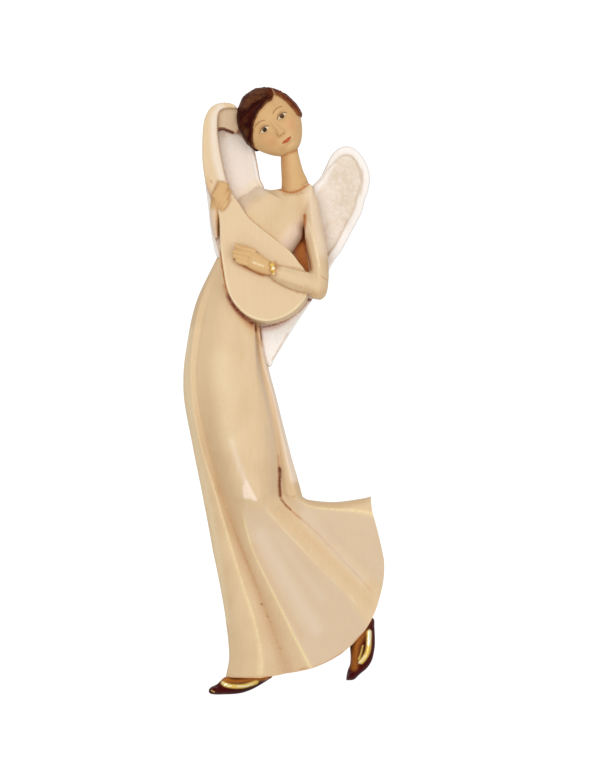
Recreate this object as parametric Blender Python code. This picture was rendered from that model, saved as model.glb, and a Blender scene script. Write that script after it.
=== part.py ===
"""A painted wooden angel with a lute, carved in one piece in high relief with a flat back, to hang on a wall.

Places come from a carver's squared drawing of the front view: squares across from its left edge and
squares up from its foot. Depths are metres forward from the flat back. World X runs to the viewer's
right, Z up and Y away from the viewer, and the origin is the hanging point on the flat back.
"""

import math

import bmesh
import bpy
import numpy as np
from mathutils import Vector

# Overall size, and the squared drawing that carries the proportions
FIGURE_HEIGHT = 0.500
SQUARES_TALL = 60.75
SQUARE = FIGURE_HEIGHT / SQUARES_TALL

# The hanging point on the flat back, above the balance point
HANG_ACROSS = 8.72
HANG_UP = 47.0

# Depths of the carved forms, forward from the flat back
GOWN_DEPTH = 0.031
TORSO_DEPTH = 0.026
TORSO_EDGE_DEPTH = 0.012
TORSO_ROUND = 0.016
WING_THICKNESS = 0.0085
WING_EDGE_DEPTH = 0.005
WING_EDGE_ROUND = 0.0012
WING_CROWN = 0.0004
WING_WIDE_RIM = 0.0070
WING_NARROW_RIM = 0.0035
RIGHT_WING_SUNK = 0.0026
LEFT_WING_SUNK = 0.0010
LUTE_BODY_DEPTH = 0.035
LUTE_TOP_DEPTH = 0.023
LUTE_NECK_DEPTH = 0.025
LUTE_SHOULDER_DEPTH = 0.031
LUTE_EDGE_ROUND = 0.0012
LUTE_FLOOR = 0.004
PEG_BOX_DEPTH = 0.016
PEG_BOX_DROP = 0.005
PEG_BOX_EDGE_ROUND = 0.001
HEAD_CENTRE_DEPTH = 0.018
WRIST_DEPTH = 0.037
HAND_DEPTH = 0.0375
FINGER_RADIUS = 0.0024
GRIP_DEPTH = 0.026
GRIP_FINGER_BEND = 0.001
SHOE_DEPTH = 0.0105

# The head, whose face is a plain carved one on even proportions
HEAD_LENGTH = 0.0640
HEAD_WIDTH = 0.0525
HEAD_HALF_DEPTH = 0.0215
HEAD_TILT = math.radians(38.0)
JAW_NARROWING = 0.14
HEAD_ACROSS = 9.15
HEAD_UP = 57.6
HAIR_THICKNESS = 0.0018
NOSE_HEIGHT = 0.0034
SOCKET_DEPTH = 0.0012
BROW_HEIGHT = 0.0006
LIP_HEIGHT = 0.0010
CHIN_HEIGHT = 0.0012

# Places on the face, in shares of half the head's width and length from its middle
EYE_SIDE = 0.36
EYE_RISE = -0.02
BROW_RISE = 0.20
NOSE_TOP = 0.16
NOSE_FOOT = -0.46
MOUTH_RISE = -0.58
CHIN_RISE = -0.86

# How far each form runs on behind the flat back before the back is cut flat
BACK_OVERLAP = 0.003

# Steps in from an outline: an inset, in metres or in shares of the rim's width, and a level
WING_STEPS = ((0.0, "edge"), (0.18, "shoulder"), (0.5, "rim"), (0.85, "rim"), (1.2, "field"), (2.4, "crown"))
LUTE_STEPS = ((0.0, 1.0), (0.35 * LUTE_EDGE_ROUND, 0.3), (LUTE_EDGE_ROUND, 0.0), (4 * LUTE_EDGE_ROUND, 0.0))
PEG_BOX_STEPS = ((0.0, 1.0), (PEG_BOX_EDGE_ROUND, 0.0))
SHOE_STEPS = ((0.0, 0.25), (0.0008, 0.5), (0.0024, 0.8), (0.0045, 0.96), (0.0065, 1.0))
TORSO_INSETS = (0.0, 0.12, 0.3, 0.55, 0.8, 1.0)

# Thickness along a finger and along the bracelet: share of the length, share of the radius
FINGER_SHAPE = ((0.0, 0.95), (0.35, 1.05), (0.7, 0.95), (0.92, 0.75), (1.0, 0.35))
BRACELET_SHAPE = ((0.0, 0.6), (0.25, 0.94), (0.5, 1.0), (0.75, 0.94), (1.0, 0.6))
BRACELET_RADIUS = 0.0017
BRACELET_LIFT = 0.0055

# Mesh fineness
MOST_INSET = 0.86
SPINE_POINTS = 24
LEG_STATIONS = 17
FLARE_STATIONS = 13
FLARE_BOW = 16.0
TORSO_POINTS = 48
WING_POINTS = 64
LUTE_POINTS = 80
PEG_BOX_POINTS = 20
SHOE_POINTS = 36
HEAD_ROWS = 26
HEAD_SIDES = 36
HAIR_ROWS = 31
HAIR_SIDES = 44
SMOOTH_ANGLE = math.radians(38.0)

# Fold lines of the gown from the waist to the knee and from the knee to the hem, left to right:
# squares across, squares up, depth as a share of GOWN_DEPTH
GOWN_FOLDS = (
    (
        ((4.1, 45.0, 0.12), (1.7, 40.0, 0.12), (0.7, 35.5, 0.12), (0.35, 30.8, 0.12),
         (1.25, 25.5, 0.12), (2.3, 20.3, 0.12)),
        ((3.2, 15.5, 0.12), (4.35, 9.5, 0.12), (4.92, 4.8, 0.12), (4.6, 2.3, 0.12)),
    ),
    (
        ((4.4, 44.8, 0.36), (2.2, 40.3, 0.42), (1.25, 35.5, 0.46), (1.15, 31.5, 0.48),
         (1.95, 26.0, 0.49), (3.7, 20.4, 0.49)),
        ((4.9, 16.2, 0.48), (6.1, 12.2, 0.48), (7.5, 7.8, 0.48), (8.15, 4.3, 0.48), (8.05, 2.25, 0.47)),
    ),
    (
        ((4.9, 44.5, 0.44), (2.9, 40.0, 0.46), (1.9, 35.0, 0.46), (1.75, 31.0, 0.43),
         (2.6, 26.0, 0.38), (4.25, 20.4, 0.34)),
        ((5.4, 16.7, 0.33), (7.1, 12.3, 0.33), (8.8, 8.0, 0.35), (10.65, 2.7, 0.38)),
    ),
    (
        ((6.0, 43.5, 0.78), (5.2, 38.0, 0.84), (4.8, 32.0, 0.90), (5.0, 28.0, 0.95),
         (5.9, 24.0, 0.98), (6.35, 20.3, 0.96)),
        ((6.4, 18.4, 0.72), (7.3, 15.0, 0.62), (9.1, 11.2, 0.58), (11.4, 6.5, 0.57), (13.1, 3.2, 0.56)),
    ),
    (
        ((6.8, 43.5, 0.86), (6.5, 38.0, 0.93), (6.4, 31.0, 0.98), (6.7, 26.0, 1.0), (7.3, 20.2, 1.0)),
        ((7.8, 18.0, 0.70), (9.3, 14.8, 0.50), (12.0, 10.4, 0.44), (14.5, 6.9, 0.44), (16.2, 4.7, 0.44)),
    ),
    (
        ((7.3, 43.0, 0.74), (7.5, 37.0, 0.80), (7.75, 31.0, 0.86), (7.95, 25.0, 0.92), (8.2, 20.3, 0.92)),
        ((8.9, 18.6, 0.72), (10.9, 16.55, 0.57), (13.9, 13.4, 0.53), (16.8, 10.4, 0.50), (18.7, 7.35, 0.46)),
    ),
    (
        ((7.5, 42.0, 0.50), (7.5, 37.2, 0.50), (8.0, 33.6, 0.48), (9.0, 30.2, 0.44), (9.75, 26.0, 0.38),
         (10.0, 23.0, 0.28), (10.1, 20.7, 0.26)),
        ((11.0, 19.1, 0.34), (12.9, 17.3, 0.40), (16.0, 14.4, 0.42), (19.95, 10.3, 0.33)),
    ),
    (
        ((7.65, 41.8, 0.52), (7.7, 37.0, 0.52), (8.2, 33.6, 0.50), (9.2, 30.2, 0.47), (9.98, 26.0, 0.43),
         (10.4, 23.0, 0.38), (10.7, 20.6, 0.38)),
        ((12.1, 19.25, 0.42), (14.6, 17.7, 0.50), (17.2, 16.4, 0.50), (20.4, 14.0, 0.42)),
    ),
    (
        ((7.8, 41.6, 0.52), (7.95, 36.8, 0.52), (8.5, 33.6, 0.50), (9.4, 30.2, 0.50), (10.3, 26.2, 0.48),
         (11.0, 23.0, 0.45), (11.7, 20.2, 0.43)),
        ((13.0, 19.35, 0.44), (15.3, 19.1, 0.47), (17.3, 19.0, 0.48), (19.25, 18.7, 0.47)),
    ),
    (
        ((8.1, 41.4, 0.10), (8.25, 36.6, 0.10), (8.85, 33.3, 0.10), (9.8, 29.6, 0.10), (11.0, 24.8, 0.10),
         (11.7, 22.4, 0.10), (12.25, 20.35, 0.10)),
        ((13.0, 20.0, 0.10), (15.5, 19.8, 0.10), (18.0, 20.1, 0.10), (19.1, 20.35, 0.10)),
    ),
)

# How much the cloth between one fold line and the next swells, on the leg and on the flare
GOWN_SWELLS = (
    (0.20, 0.20), (-0.04, -0.05), (0.16, -0.06), (0.05, -0.03), (0.05, -0.03),
    (0.14, -0.03), (0.0, 0.04), (0.05, 0.04), (0.22, 0.20),
)

# Outlines in squares across and up
TORSO_OUTLINE = (
    (7.0, 50.8), (7.8, 51.3), (8.4, 51.15), (9.0, 51.0), (10.0, 51.1), (11.5, 51.5), (12.9, 51.6),
    (13.3, 50.9), (13.1, 49.5), (12.5, 48.4), (12.35, 47.0), (12.25, 46.3), (11.45, 45.1), (10.9, 44.2),
    (10.4, 43.0), (10.2, 40.0), (8.7, 37.8), (6.2, 37.6), (4.6, 40.5), (4.2, 44.0), (4.6, 47.5), (5.6, 49.8),
)
TORSO_SPINE = ((10.6, 49.6), (9.6, 47.5), (8.6, 45.0), (7.9, 42.0), (7.4, 40.0))

LEFT_WING_OUTLINE = (
    (4.2, 57.5), (5.2, 57.2), (6.0, 56.6), (6.8, 55.9), (7.35, 55.1), (7.65, 54.1), (7.85, 53.0), (8.05, 52.0),
    (8.4, 51.2), (8.2, 49.5), (7.2, 46.5), (6.0, 43.8), (4.6, 43.3), (3.7, 44.3), (3.3, 45.7), (3.0, 47.5),
    (2.8, 49.5), (2.5, 52.0), (2.35, 54.0), (2.45, 56.0), (3.1, 57.2),
)
LEFT_WING_SPINE = ((4.9, 55.3), (5.1, 51.5), (5.0, 47.0), (4.7, 45.3))
LEFT_WING_OUT = (-0.8, 0.6)

RIGHT_WING_OUTLINE = (
    (13.2, 51.3), (14.0, 52.2), (14.6, 53.4), (15.1, 54.4), (15.8, 55.1), (16.6, 55.35), (17.4, 55.15),
    (18.1, 54.5), (18.7, 53.5), (19.0, 52.3), (18.85, 51.0), (18.5, 50.0), (18.2, 48.8), (17.7, 47.8),
    (17.0, 46.5), (16.2, 45.0), (15.4, 43.9), (14.9, 43.0), (13.2, 40.0), (11.8, 37.9), (10.6, 36.0),
    (9.5, 34.2), (8.95, 33.3), (8.0, 34.6), (7.5, 37.5), (8.3, 41.5), (10.0, 45.0), (11.6, 48.5),
)
RIGHT_WING_SPINE = ((16.5, 52.3), (15.6, 49.5), (13.8, 46.0), (11.5, 41.5), (9.6, 37.4), (8.9, 35.3))
RIGHT_WING_OUT = (0.8, 0.6)

LUTE_OUTLINE = (
    (5.65, 59.15), (5.3, 59.5), (4.7, 59.65), (4.1, 59.63), (3.5, 59.45), (2.95, 59.0), (2.5, 58.1), (2.32, 57.0),
    (2.25, 55.2), (2.32, 53.5), (2.6, 51.7), (3.2, 50.2), (3.75, 49.0), (3.95, 47.8), (4.0, 46.0),
    (4.15, 44.5), (4.4, 42.8), (4.7, 41.2), (5.15, 40.1), (5.8, 39.2), (6.7, 38.4), (7.7, 37.95),
    (8.7, 37.8), (9.7, 38.0), (10.6, 38.35), (11.5, 38.9), (12.2, 39.6), (12.7, 40.4), (12.85, 41.6),
    (12.5, 42.9), (11.9, 43.7), (11.3, 44.5), (10.5, 45.25), (9.6, 45.95), (8.7, 46.65), (7.8, 47.35),
    (7.0, 48.05), (6.5, 48.7), (5.95, 49.6), (5.4, 50.35), (4.9, 51.3), (4.5, 52.4), (4.25, 53.5),
    (4.05, 54.5), (3.85, 55.8), (3.75, 57.0), (3.8, 58.4), (4.1, 58.95), (4.8, 59.15),
)
LUTE_SPINE = (
    (4.95, 59.4), (4.0, 59.25), (3.3, 58.9), (3.05, 57.8), (3.0, 56.0), (3.15, 54.5), (3.5, 52.5), (4.3, 50.5),
    (5.6, 48.3), (6.8, 46.0), (8.0, 43.5), (8.7, 42.0),
)
LUTE_WALL_SLANT = (0.10, -0.42)

PEG_BOX_OUTLINE = (
    (3.6, 59.3), (5.6, 59.2), (5.65, 58.3), (5.6, 57.4), (5.45, 56.75), (4.8, 56.95), (4.2, 57.1), (3.6, 57.05),
)
PEG_BOX_SPINE = ((4.6, 58.4), (4.6, 57.9))

RIGHT_SHOE_OUTLINE = (
    (19.3, 8.2), (19.45, 7.2), (19.5, 6.0), (19.45, 5.1), (19.2, 4.0), (18.7, 3.2), (18.0, 2.6), (17.4, 2.05),
    (16.9, 1.98), (16.62, 2.05), (16.75, 2.9), (17.0, 3.6), (17.05, 4.4), (17.0, 5.3), (17.0, 6.2), (18.0, 8.2),
)
LEFT_SHOE_OUTLINE = (
    (5.6, 2.4), (4.5, 2.3), (3.7, 1.6), (3.1, 1.3), (2.86, 0.95), (3.0, 0.66), (3.5, 0.55), (4.4, 0.56),
    (5.4, 0.6), (6.3, 0.74), (7.2, 1.07), (8.0, 1.5), (8.8, 2.0), (9.25, 2.4), (8.6, 3.0), (7.0, 2.9),
)
LEFT_SHOE_SPINE = ((3.9, 1.2), (5.5, 1.6), (7.6, 2.1))
RIGHT_SHOE_SPINE = ((17.3, 2.9), (18.2, 4.6), (18.5, 6.8))

# Limbs: squares across, squares up, depth of the middle, half width and half depth in metres
UPPER_ARM = (
    (12.6, 51.2, 0.0130, 0.0020, 0.0040), (12.85, 50.7, 0.0145, 0.0046, 0.0072),
    (13.05, 49.8, 0.0160, 0.0060, 0.0090), (13.15, 48.6, 0.0175, 0.0070, 0.0102),
    (13.35, 47.0, 0.0190, 0.0076, 0.0115), (13.65, 45.2, 0.0215, 0.0083, 0.0125),
    (13.87, 43.2, 0.0235, 0.0081, 0.0130), (13.87, 41.8, 0.0250, 0.0080, 0.0125),
    (13.75, 40.9, 0.0260, 0.0078, 0.0110), (13.65, 40.35, 0.0260, 0.0062, 0.0085),
    (13.6, 40.05, 0.0260, 0.0035, 0.0050),
)
FOREARM = (
    (14.0, 41.5, 0.0270, 0.0060, 0.0085), (13.2, 41.5, 0.0300, 0.0088, 0.0110),
    (12.2, 41.8, 0.0335, 0.0088, 0.0100), (11.0, 42.15, 0.0355, 0.0080, 0.0085),
    (10.0, 42.55, 0.0365, 0.0068, 0.0072), (9.35, 42.9, 0.0370, 0.0058, 0.0062),
)
PALM = (
    (9.9, 42.7, 0.0370, 0.0050, 0.0050), (9.2, 43.0, 0.0375, 0.0056, 0.0048),
    (8.3, 43.35, 0.0380, 0.0068, 0.0046), (7.4, 43.85, 0.0380, 0.0072, 0.0042),
    (6.9, 44.1, 0.0375, 0.0060, 0.0032),
)
NECK = (
    (10.9, 55.3, 0.0170, 0.0066, 0.0080), (11.05, 53.8, 0.0165, 0.0080, 0.0090),
    (11.25, 52.6, 0.0165, 0.0092, 0.0095), (11.45, 51.7, 0.0165, 0.0108, 0.0105),
    (11.6, 50.8, 0.0160, 0.0120, 0.0105),
)
GRIP_WRIST = (
    (3.7, 46.2, 0.0120, 0.0016, 0.0060), (3.55, 47.4, 0.0140, 0.0030, 0.0080),
    (3.6, 48.5, 0.0170, 0.0046, 0.0090), (3.8, 49.6, 0.0200, 0.0062, 0.0090),
    (4.1, 50.7, 0.0220, 0.0066, 0.0080), (4.35, 51.7, 0.0230, 0.0050, 0.0050),
)

# Fingers: root and tip in squares across and up
FLAT_FINGERS = (
    ((7.6, 44.75), (5.45, 45.35)), ((7.4, 44.3), (5.2, 44.85)), ((7.3, 43.8), (5.25, 44.4)),
    ((7.5, 43.35), (5.55, 43.95)),
)
GRIP_FINGERS = (
    ((3.4, 50.2), (4.35, 51.75)), ((3.6, 49.6), (4.8, 51.5)), ((3.9, 49.1), (5.05, 50.95)),
    ((4.15, 48.8), (4.95, 50.2)),
)
BRACELET = ((9.12, 43.75), (9.5, 42.3))

# Where the hair ends on the front of the head, in shares of half the head's width and length
HAIRLINE = (
    (-0.99, -0.45), (-0.86, -0.10), (-0.60, 0.15), (-0.28, 0.36), (0.07, 0.46), (0.48, 0.47), (0.64, 0.56),
    (0.72, 0.50), (0.80, 0.30), (0.84, 0.05), (0.84, -0.25), (0.99, -0.55),
)
HAIRLINE_MIDDLE = (0.0, -0.2)
HAIR_FEATHER = 0.08

# Where the hair fades out down the back of the head
HAIR_NAPE = (-0.45, -0.30)


def place(across, up, depth):
    """The world point for a place on the squared drawing and a depth forward from the flat back."""
    return Vector(((across - HANG_ACROSS) * SQUARE, -depth, (up - HANG_UP) * SQUARE))


def smooth_line(points, count, closed=False):
    """Samples a smooth curve through the points, evenly along its length."""
    knots = np.array(points, dtype=float)
    total = len(knots)
    spans = total if closed else total - 1
    fine = []
    for span in range(spans):
        if closed:
            before, start, end, after = (knots[(span + shift) % total] for shift in (-1, 0, 1, 2))
        else:
            start, end = knots[span], knots[span + 1]
            before = knots[span - 1] if span else 2 * start - end
            after = knots[span + 2] if span + 2 < total else 2 * end - start
        for step in range(12):
            t = step / 12
            fine.append(
                0.5 * (2 * start + (end - before) * t + (2 * before - 5 * start + 4 * end - after) * t**2
                       + (3 * start - before - 3 * end + after) * t**3)
            )
    fine.append(knots[0] if closed else knots[-1])
    fine = np.array(fine)
    lengths = np.concatenate([[0.0], np.cumsum(np.linalg.norm(np.diff(fine[:, :2], axis=0), axis=1))])
    wanted = np.linspace(0.0, lengths[-1], count + 1)[:-1] if closed else np.linspace(0.0, lengths[-1], count)
    return np.stack([np.interp(wanted, lengths, fine[:, axis]) for axis in range(knots.shape[1])], axis=1)


def new_material(name, colour, roughness, metallic=0.0):
    material = bpy.data.materials.new(name)
    material.use_nodes = True
    shader = material.node_tree.nodes["Principled BSDF"]
    shader.inputs["Base Color"].default_value = (*colour, 1.0)
    shader.inputs["Roughness"].default_value = roughness
    shader.inputs["Metallic"].default_value = metallic
    material.diffuse_color = (*colour, 1.0)
    return material


def object_from(name, points, faces, material):
    """A closed mesh object with its faces turned outwards."""
    mesh = bpy.data.meshes.new(name)
    mesh.from_pydata(points, [], faces)
    work = bmesh.new()
    work.from_mesh(mesh)
    bmesh.ops.recalc_face_normals(work, faces=work.faces)
    if work.calc_volume(signed=True) < 0:
        bmesh.ops.reverse_faces(work, faces=work.faces)
    bmesh.ops.triangulate(work, faces=[face for face in work.faces if len(face.verts) > 4])
    work.to_mesh(mesh)
    work.free()
    mesh.materials.append(material)
    mesh.shade_smooth()
    mesh.set_sharp_from_angle(angle=SMOOTH_ANGLE)
    made = bpy.data.objects.new(name, mesh)
    bpy.context.scene.collection.objects.link(made)
    return made


def ringed(name, rings, material):
    """A closed form skinned over rings of equal count, with an end face at each end."""
    count = len(rings[0])
    points = [point for ring in rings for point in ring]
    faces = []
    for row in range(len(rings) - 1):
        for column in range(count):
            following = (column + 1) % count
            low, high = row * count, (row + 1) * count
            faces.append((low + column, low + following, high + following, high + column))
    faces.append(tuple(range(count)))
    faces.append(tuple((len(rings) - 1) * count + column for column in range(count)))
    return object_from(name, points, faces, material)


def slab(name, front, material):
    """A closed form whose front is a grid of points and whose back runs on behind the flat back."""
    rows, columns = len(front), len(front[0])
    points = [point for row in front for point in row]
    points += [Vector((point.x, BACK_OVERLAP, point.z)) for row in front for point in row]
    behind = rows * columns
    faces = []
    for row in range(rows - 1):
        for column in range(columns - 1):
            corner = row * columns + column
            faces.append((corner, corner + 1, corner + columns + 1, corner + columns))
            corner += behind
            faces.append((corner, corner + columns, corner + columns + 1, corner + 1))
    rim = list(range(columns))
    rim += [row * columns + columns - 1 for row in range(1, rows)]
    rim += [(rows - 1) * columns + column for column in range(columns - 2, -1, -1)]
    rim += [row * columns for row in range(rows - 2, 0, -1)]
    for here, following in zip(rim, rim[1:] + rim[:1]):
        faces.append((here, here + behind, following + behind, following))
    return object_from(name, points, faces, material)


def nearest_on(line, point):
    """The nearest place on a line of points, with its share along the line."""
    best = None
    for index in range(len(line) - 1):
        start, end = line[index], line[index + 1]
        along = end - start
        share = float(np.clip(np.dot(point - start, along) / np.dot(along, along), 0.0, 1.0))
        spot = start + along * share
        gap = float(np.linalg.norm(point - spot))
        if best is None or gap < best[0]:
            best = (gap, spot, (index + share) / (len(line) - 1))
    return best


def relief_rings(outline, spine, floor, steps, count, depth_at, width_at=None):
    """Rings that rise from the floor depth round an outline and step in towards its spine.

    A step is an inset, in metres or in shares of what width_at gives, and a level. depth_at turns a
    place, its share of the way along the spine and a level into a depth.
    """
    edge = smooth_line(outline, count, closed=True)
    middle = smooth_line(spine, SPINE_POINTS)
    targets = [nearest_on(middle, point) for point in edge]
    rings = [[place(point[0], point[1], floor) for point in edge]]
    for inset, level in steps:
        ring = []
        for point, (gap, spot, along) in zip(edge, targets):
            width = width_at(point, spot) if width_at else 1.0
            travel = min(inset * width / SQUARE, gap * MOST_INSET) / gap
            moved = point + (spot - point) * travel
            ring.append(place(moved[0], moved[1], depth_at(moved, along, level)))
        rings.append(ring)
    return rings


def limb(name, stations, material, sides=12, rows=9, facet=0.0):
    """A tapered limb along its stations, oval in section, with an optional ridge down its front."""
    line = smooth_line(stations, rows)
    rings = []
    for index, (across, up, depth, half_width, half_depth) in enumerate(line):
        before = line[max(index - 1, 0)]
        after = line[min(index + 1, rows - 1)]
        run = np.array([after[0] - before[0], after[1] - before[1]])
        run /= np.linalg.norm(run)
        side = np.array([run[1], -run[0]])
        ring = []
        for step in range(sides):
            angle = 2 * math.pi * step / sides
            reach = half_width / SQUARE * math.cos(angle)
            rise = half_depth * math.sin(angle)
            if rise > 0:
                rise *= 1 + facet * (1 - abs(math.cos(angle)))
            ring.append(place(across + side[0] * reach, up + side[1] * reach, depth + rise))
        rings.append(ring)
    return ringed(name, rings, material)


def gown(material):
    """The long gown, lofted across its fold lines."""
    lines = []
    for leg, flare in GOWN_FOLDS:
        above = smooth_line(leg, LEG_STATIONS)
        below = smooth_line(leg[-1:] + flare, FLARE_STATIONS)
        lines.append(np.concatenate([above, below[1:]]))
    front = []
    for station in range(len(lines[0])):
        flare_share = float(np.clip((station - LEG_STATIONS + 2) / 3, 0.0, 1.0))
        knots = np.array([line[station] for line in lines])
        row = []
        for index, (leg_swell, flare_swell) in enumerate(GOWN_SWELLS):
            start, end = knots[index], knots[index + 1]
            before = knots[max(index - 1, 0)]
            after = knots[min(index + 2, len(knots) - 1)]
            swell = leg_swell * (1 - flare_share) + flare_swell * flare_share
            span = np.linalg.norm(end[:2] - start[:2]) * SQUARE
            row.append(place(start[0], start[1], start[2] * GOWN_DEPTH))
            bow = (end - before - after + start)[:2] / FLARE_BOW * flare_share
            middle = (start + end) / 2
            row.append(place(middle[0] + bow[0], middle[1] + bow[1], middle[2] * GOWN_DEPTH + swell * span))
        row.append(place(knots[-1][0], knots[-1][1], knots[-1][2] * GOWN_DEPTH))
        front.append(row)
    return slab("gown form", front, material)


def torso(material):
    """The rounded chest and waist."""
    steps = [(share * TORSO_ROUND, math.sin(share * math.pi / 2) ** 0.8) for share in TORSO_INSETS]

    def depth_at(spot, along, level):
        return TORSO_EDGE_DEPTH + (TORSO_DEPTH - TORSO_EDGE_DEPTH) * level

    rings = relief_rings(TORSO_OUTLINE, TORSO_SPINE, -BACK_OVERLAP, steps, TORSO_POINTS, depth_at)
    return ringed("torso form", rings, material)


def wing(name, outline, spine, out, inner_rim, outer_rim, sunk, material):
    """A wing whose rim, wider on its outer side, stands round a sunk field."""
    levels = {
        "edge": WING_EDGE_DEPTH,
        "shoulder": WING_THICKNESS - WING_EDGE_ROUND,
        "rim": WING_THICKNESS,
        "field": WING_THICKNESS - sunk,
        "crown": WING_THICKNESS - sunk + WING_CROWN,
    }

    def width_at(point, spot):
        outward = (point - spot) / np.linalg.norm(point - spot)
        return inner_rim + (outer_rim - inner_rim) * smoothstep(float(outward @ np.array(out)), -0.4, 0.5)

    def depth_at(spot, along, level):
        return levels[level]

    rings = relief_rings(outline, spine, -BACK_OVERLAP, WING_STEPS, WING_POINTS, depth_at, width_at)
    return ringed(name, rings, material)


def lute_front(share):
    """Depth of the lute's flat front at a share of the way from the peg box to the end of the body."""
    depths = (LUTE_TOP_DEPTH, LUTE_NECK_DEPTH, LUTE_SHOULDER_DEPTH, LUTE_BODY_DEPTH)
    return float(np.interp(share, (0.0, 0.45, 0.7, 1.0), depths))


def lute(material):
    """The lute's pear-shaped body and its neck, with a wall that slants out below."""

    def depth_at(spot, along, level):
        return lute_front(along) - LUTE_EDGE_ROUND * level

    rings = relief_rings(LUTE_OUTLINE, LUTE_SPINE, LUTE_FLOOR, LUTE_STEPS, LUTE_POINTS, depth_at)
    slant = Vector((LUTE_WALL_SLANT[0] * SQUARE, 0.0, LUTE_WALL_SLANT[1] * SQUARE))
    middle = smooth_line(LUTE_SPINE, SPINE_POINTS)
    for index, point in enumerate(smooth_line(LUTE_OUTLINE, LUTE_POINTS, closed=True)):
        along = nearest_on(middle, point)[2]
        rings[0][index] = rings[0][index] + slant * smoothstep(along, 0.6, 0.8)
    return ringed("lute form", rings, material)


def peg_box(material):
    """The lute's bent-back peg box, seen between the neck and the hair."""
    top = max(up for across, up in PEG_BOX_OUTLINE)
    foot = min(up for across, up in PEG_BOX_OUTLINE)

    def depth_at(spot, along, level):
        return PEG_BOX_DEPTH + PEG_BOX_DROP * ((spot[1] - foot) / (top - foot) - 0.5) - PEG_BOX_EDGE_ROUND * level

    rings = relief_rings(PEG_BOX_OUTLINE, PEG_BOX_SPINE, LUTE_FLOOR, PEG_BOX_STEPS, PEG_BOX_POINTS, depth_at)
    return ringed("peg box form", rings, material)


def finger(name, root, tip, depth, material, bend=0.0):
    """One finger, lying on what it touches."""
    stations = []
    for share, thickness in FINGER_SHAPE:
        across = root[0] + (tip[0] - root[0]) * share
        up = root[1] + (tip[1] - root[1]) * share
        radius = FINGER_RADIUS * thickness
        stations.append((across, up, depth + bend * math.sin(share * math.pi), radius, radius * 1.1))
    return limb(name, stations, material, sides=8, rows=5)


def shoe(name, outline, spine, material):
    """A pointed shoe with a rounded top."""

    def depth_at(spot, along, level):
        return SHOE_DEPTH * level

    rings = relief_rings(outline, spine, -BACK_OVERLAP, SHOE_STEPS, SHOE_POINTS, depth_at)
    return ringed(name, rings, material)


def smoothstep(value, low, high):
    share = float(np.clip((value - low) / (high - low), 0.0, 1.0))
    return share * share * (3 - 2 * share)


def bump(value, middle, width):
    return math.exp(-(((value - middle) / width) ** 2))


def face_relief(side, rise):
    """How far the face stands forward of the plain egg at a place on it, in metres."""
    bridge = smoothstep(rise, NOSE_TOP, 0.0) * smoothstep(rise, NOSE_FOOT, NOSE_FOOT + 0.12)
    nose = NOSE_HEIGHT * bridge * (0.35 + 0.65 * smoothstep(rise, 0.1, -0.32)) * bump(side, 0.0, 0.15)
    sockets = -SOCKET_DEPTH * bump(abs(side), EYE_SIDE, 0.2) * bump(rise, EYE_RISE, 0.13)
    brow = BROW_HEIGHT * bump(rise, BROW_RISE, 0.1) * bump(abs(side), EYE_SIDE, 0.3)
    lips = LIP_HEIGHT * bump(rise, MOUTH_RISE, 0.07) * bump(side, 0.0, 0.2)
    chin = CHIN_HEIGHT * bump(rise, CHIN_RISE, 0.12) * bump(side, 0.0, 0.25)
    return nose + sockets + brow + lips + chin


def hair_share(side, rise, forward):
    """One where the hair covers the head and nothing on the face and neck."""
    if forward < 0.05:
        return smoothstep(rise, *HAIR_NAPE)
    edge = np.array(HAIRLINE)
    middle = np.array(HAIRLINE_MIDDLE)
    offset = np.array((side, rise)) - middle
    angles = np.arctan2(edge[:, 0] - middle[0], edge[:, 1] - middle[1])
    reaches = np.hypot(edge[:, 0] - middle[0], edge[:, 1] - middle[1])
    angle = math.atan2(offset[0], offset[1])
    if angle < angles[0] or angle > angles[-1]:
        return 0.0
    reach = float(np.interp(angle, angles, reaches))
    return smoothstep(float(np.hypot(*offset)), reach - HAIR_FEATHER, reach + HAIR_FEATHER)


def egg_rings(rows, sides, turn, skull_offset):
    """Rings round the tilted head from crown to chin, turned by a share of one side.

    skull_offset gives how far a place stands off the skull.
    """
    right = Vector((math.cos(HEAD_TILT), 0.0, math.sin(HEAD_TILT)))
    crown = Vector((-math.sin(HEAD_TILT), 0.0, math.cos(HEAD_TILT)))
    forward = Vector((0.0, -1.0, 0.0))
    centre = place(HEAD_ACROSS, HEAD_UP, HEAD_CENTRE_DEPTH)
    rings = []
    for row in range(rows):
        polar = math.pi * (row + 0.35) / (rows - 0.3)
        rise = math.cos(polar)
        jaw = 1 - JAW_NARROWING * smoothstep(-rise, 0.05, 1.0)
        ring = []
        for step in range(sides):
            angle = 2 * math.pi * (step + turn) / sides
            side = math.sin(polar) * math.sin(angle) * jaw
            ahead = math.sin(polar) * math.cos(angle)
            out = right * (side * (HEAD_WIDTH / 2 - HAIR_THICKNESS))
            out = out + crown * (rise * (HEAD_LENGTH / 2 - HAIR_THICKNESS))
            out = out + forward * (ahead * (HEAD_HALF_DEPTH - HAIR_THICKNESS))
            outwards, ahead_only = skull_offset(side, rise, ahead)
            ring.append(centre + out * (1 + outwards / out.length) + forward * ahead_only)
        rings.append(ring)
    return rings


def head(material):
    """The tilted head with its plain face."""

    def skull_offset(side, rise, ahead):
        return 0.0, face_relief(side, rise) * smoothstep(ahead, 0.0, 0.5)

    return ringed("head form", egg_rings(HEAD_ROWS, HEAD_SIDES, 0.0, skull_offset), material)


def hair(material):
    """The cap of short hair. Where the face and neck are bare it runs inside the head.

    Its grid is turned against the head's, so that no edge of one lies along an edge of the other.
    """

    def skull_offset(side, rise, ahead):
        return HAIR_THICKNESS * (2 * hair_share(side, rise, ahead) - 1), 0.0

    return ringed("hair form", egg_rings(HAIR_ROWS, HAIR_SIDES, 0.5, skull_offset), material)


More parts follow.
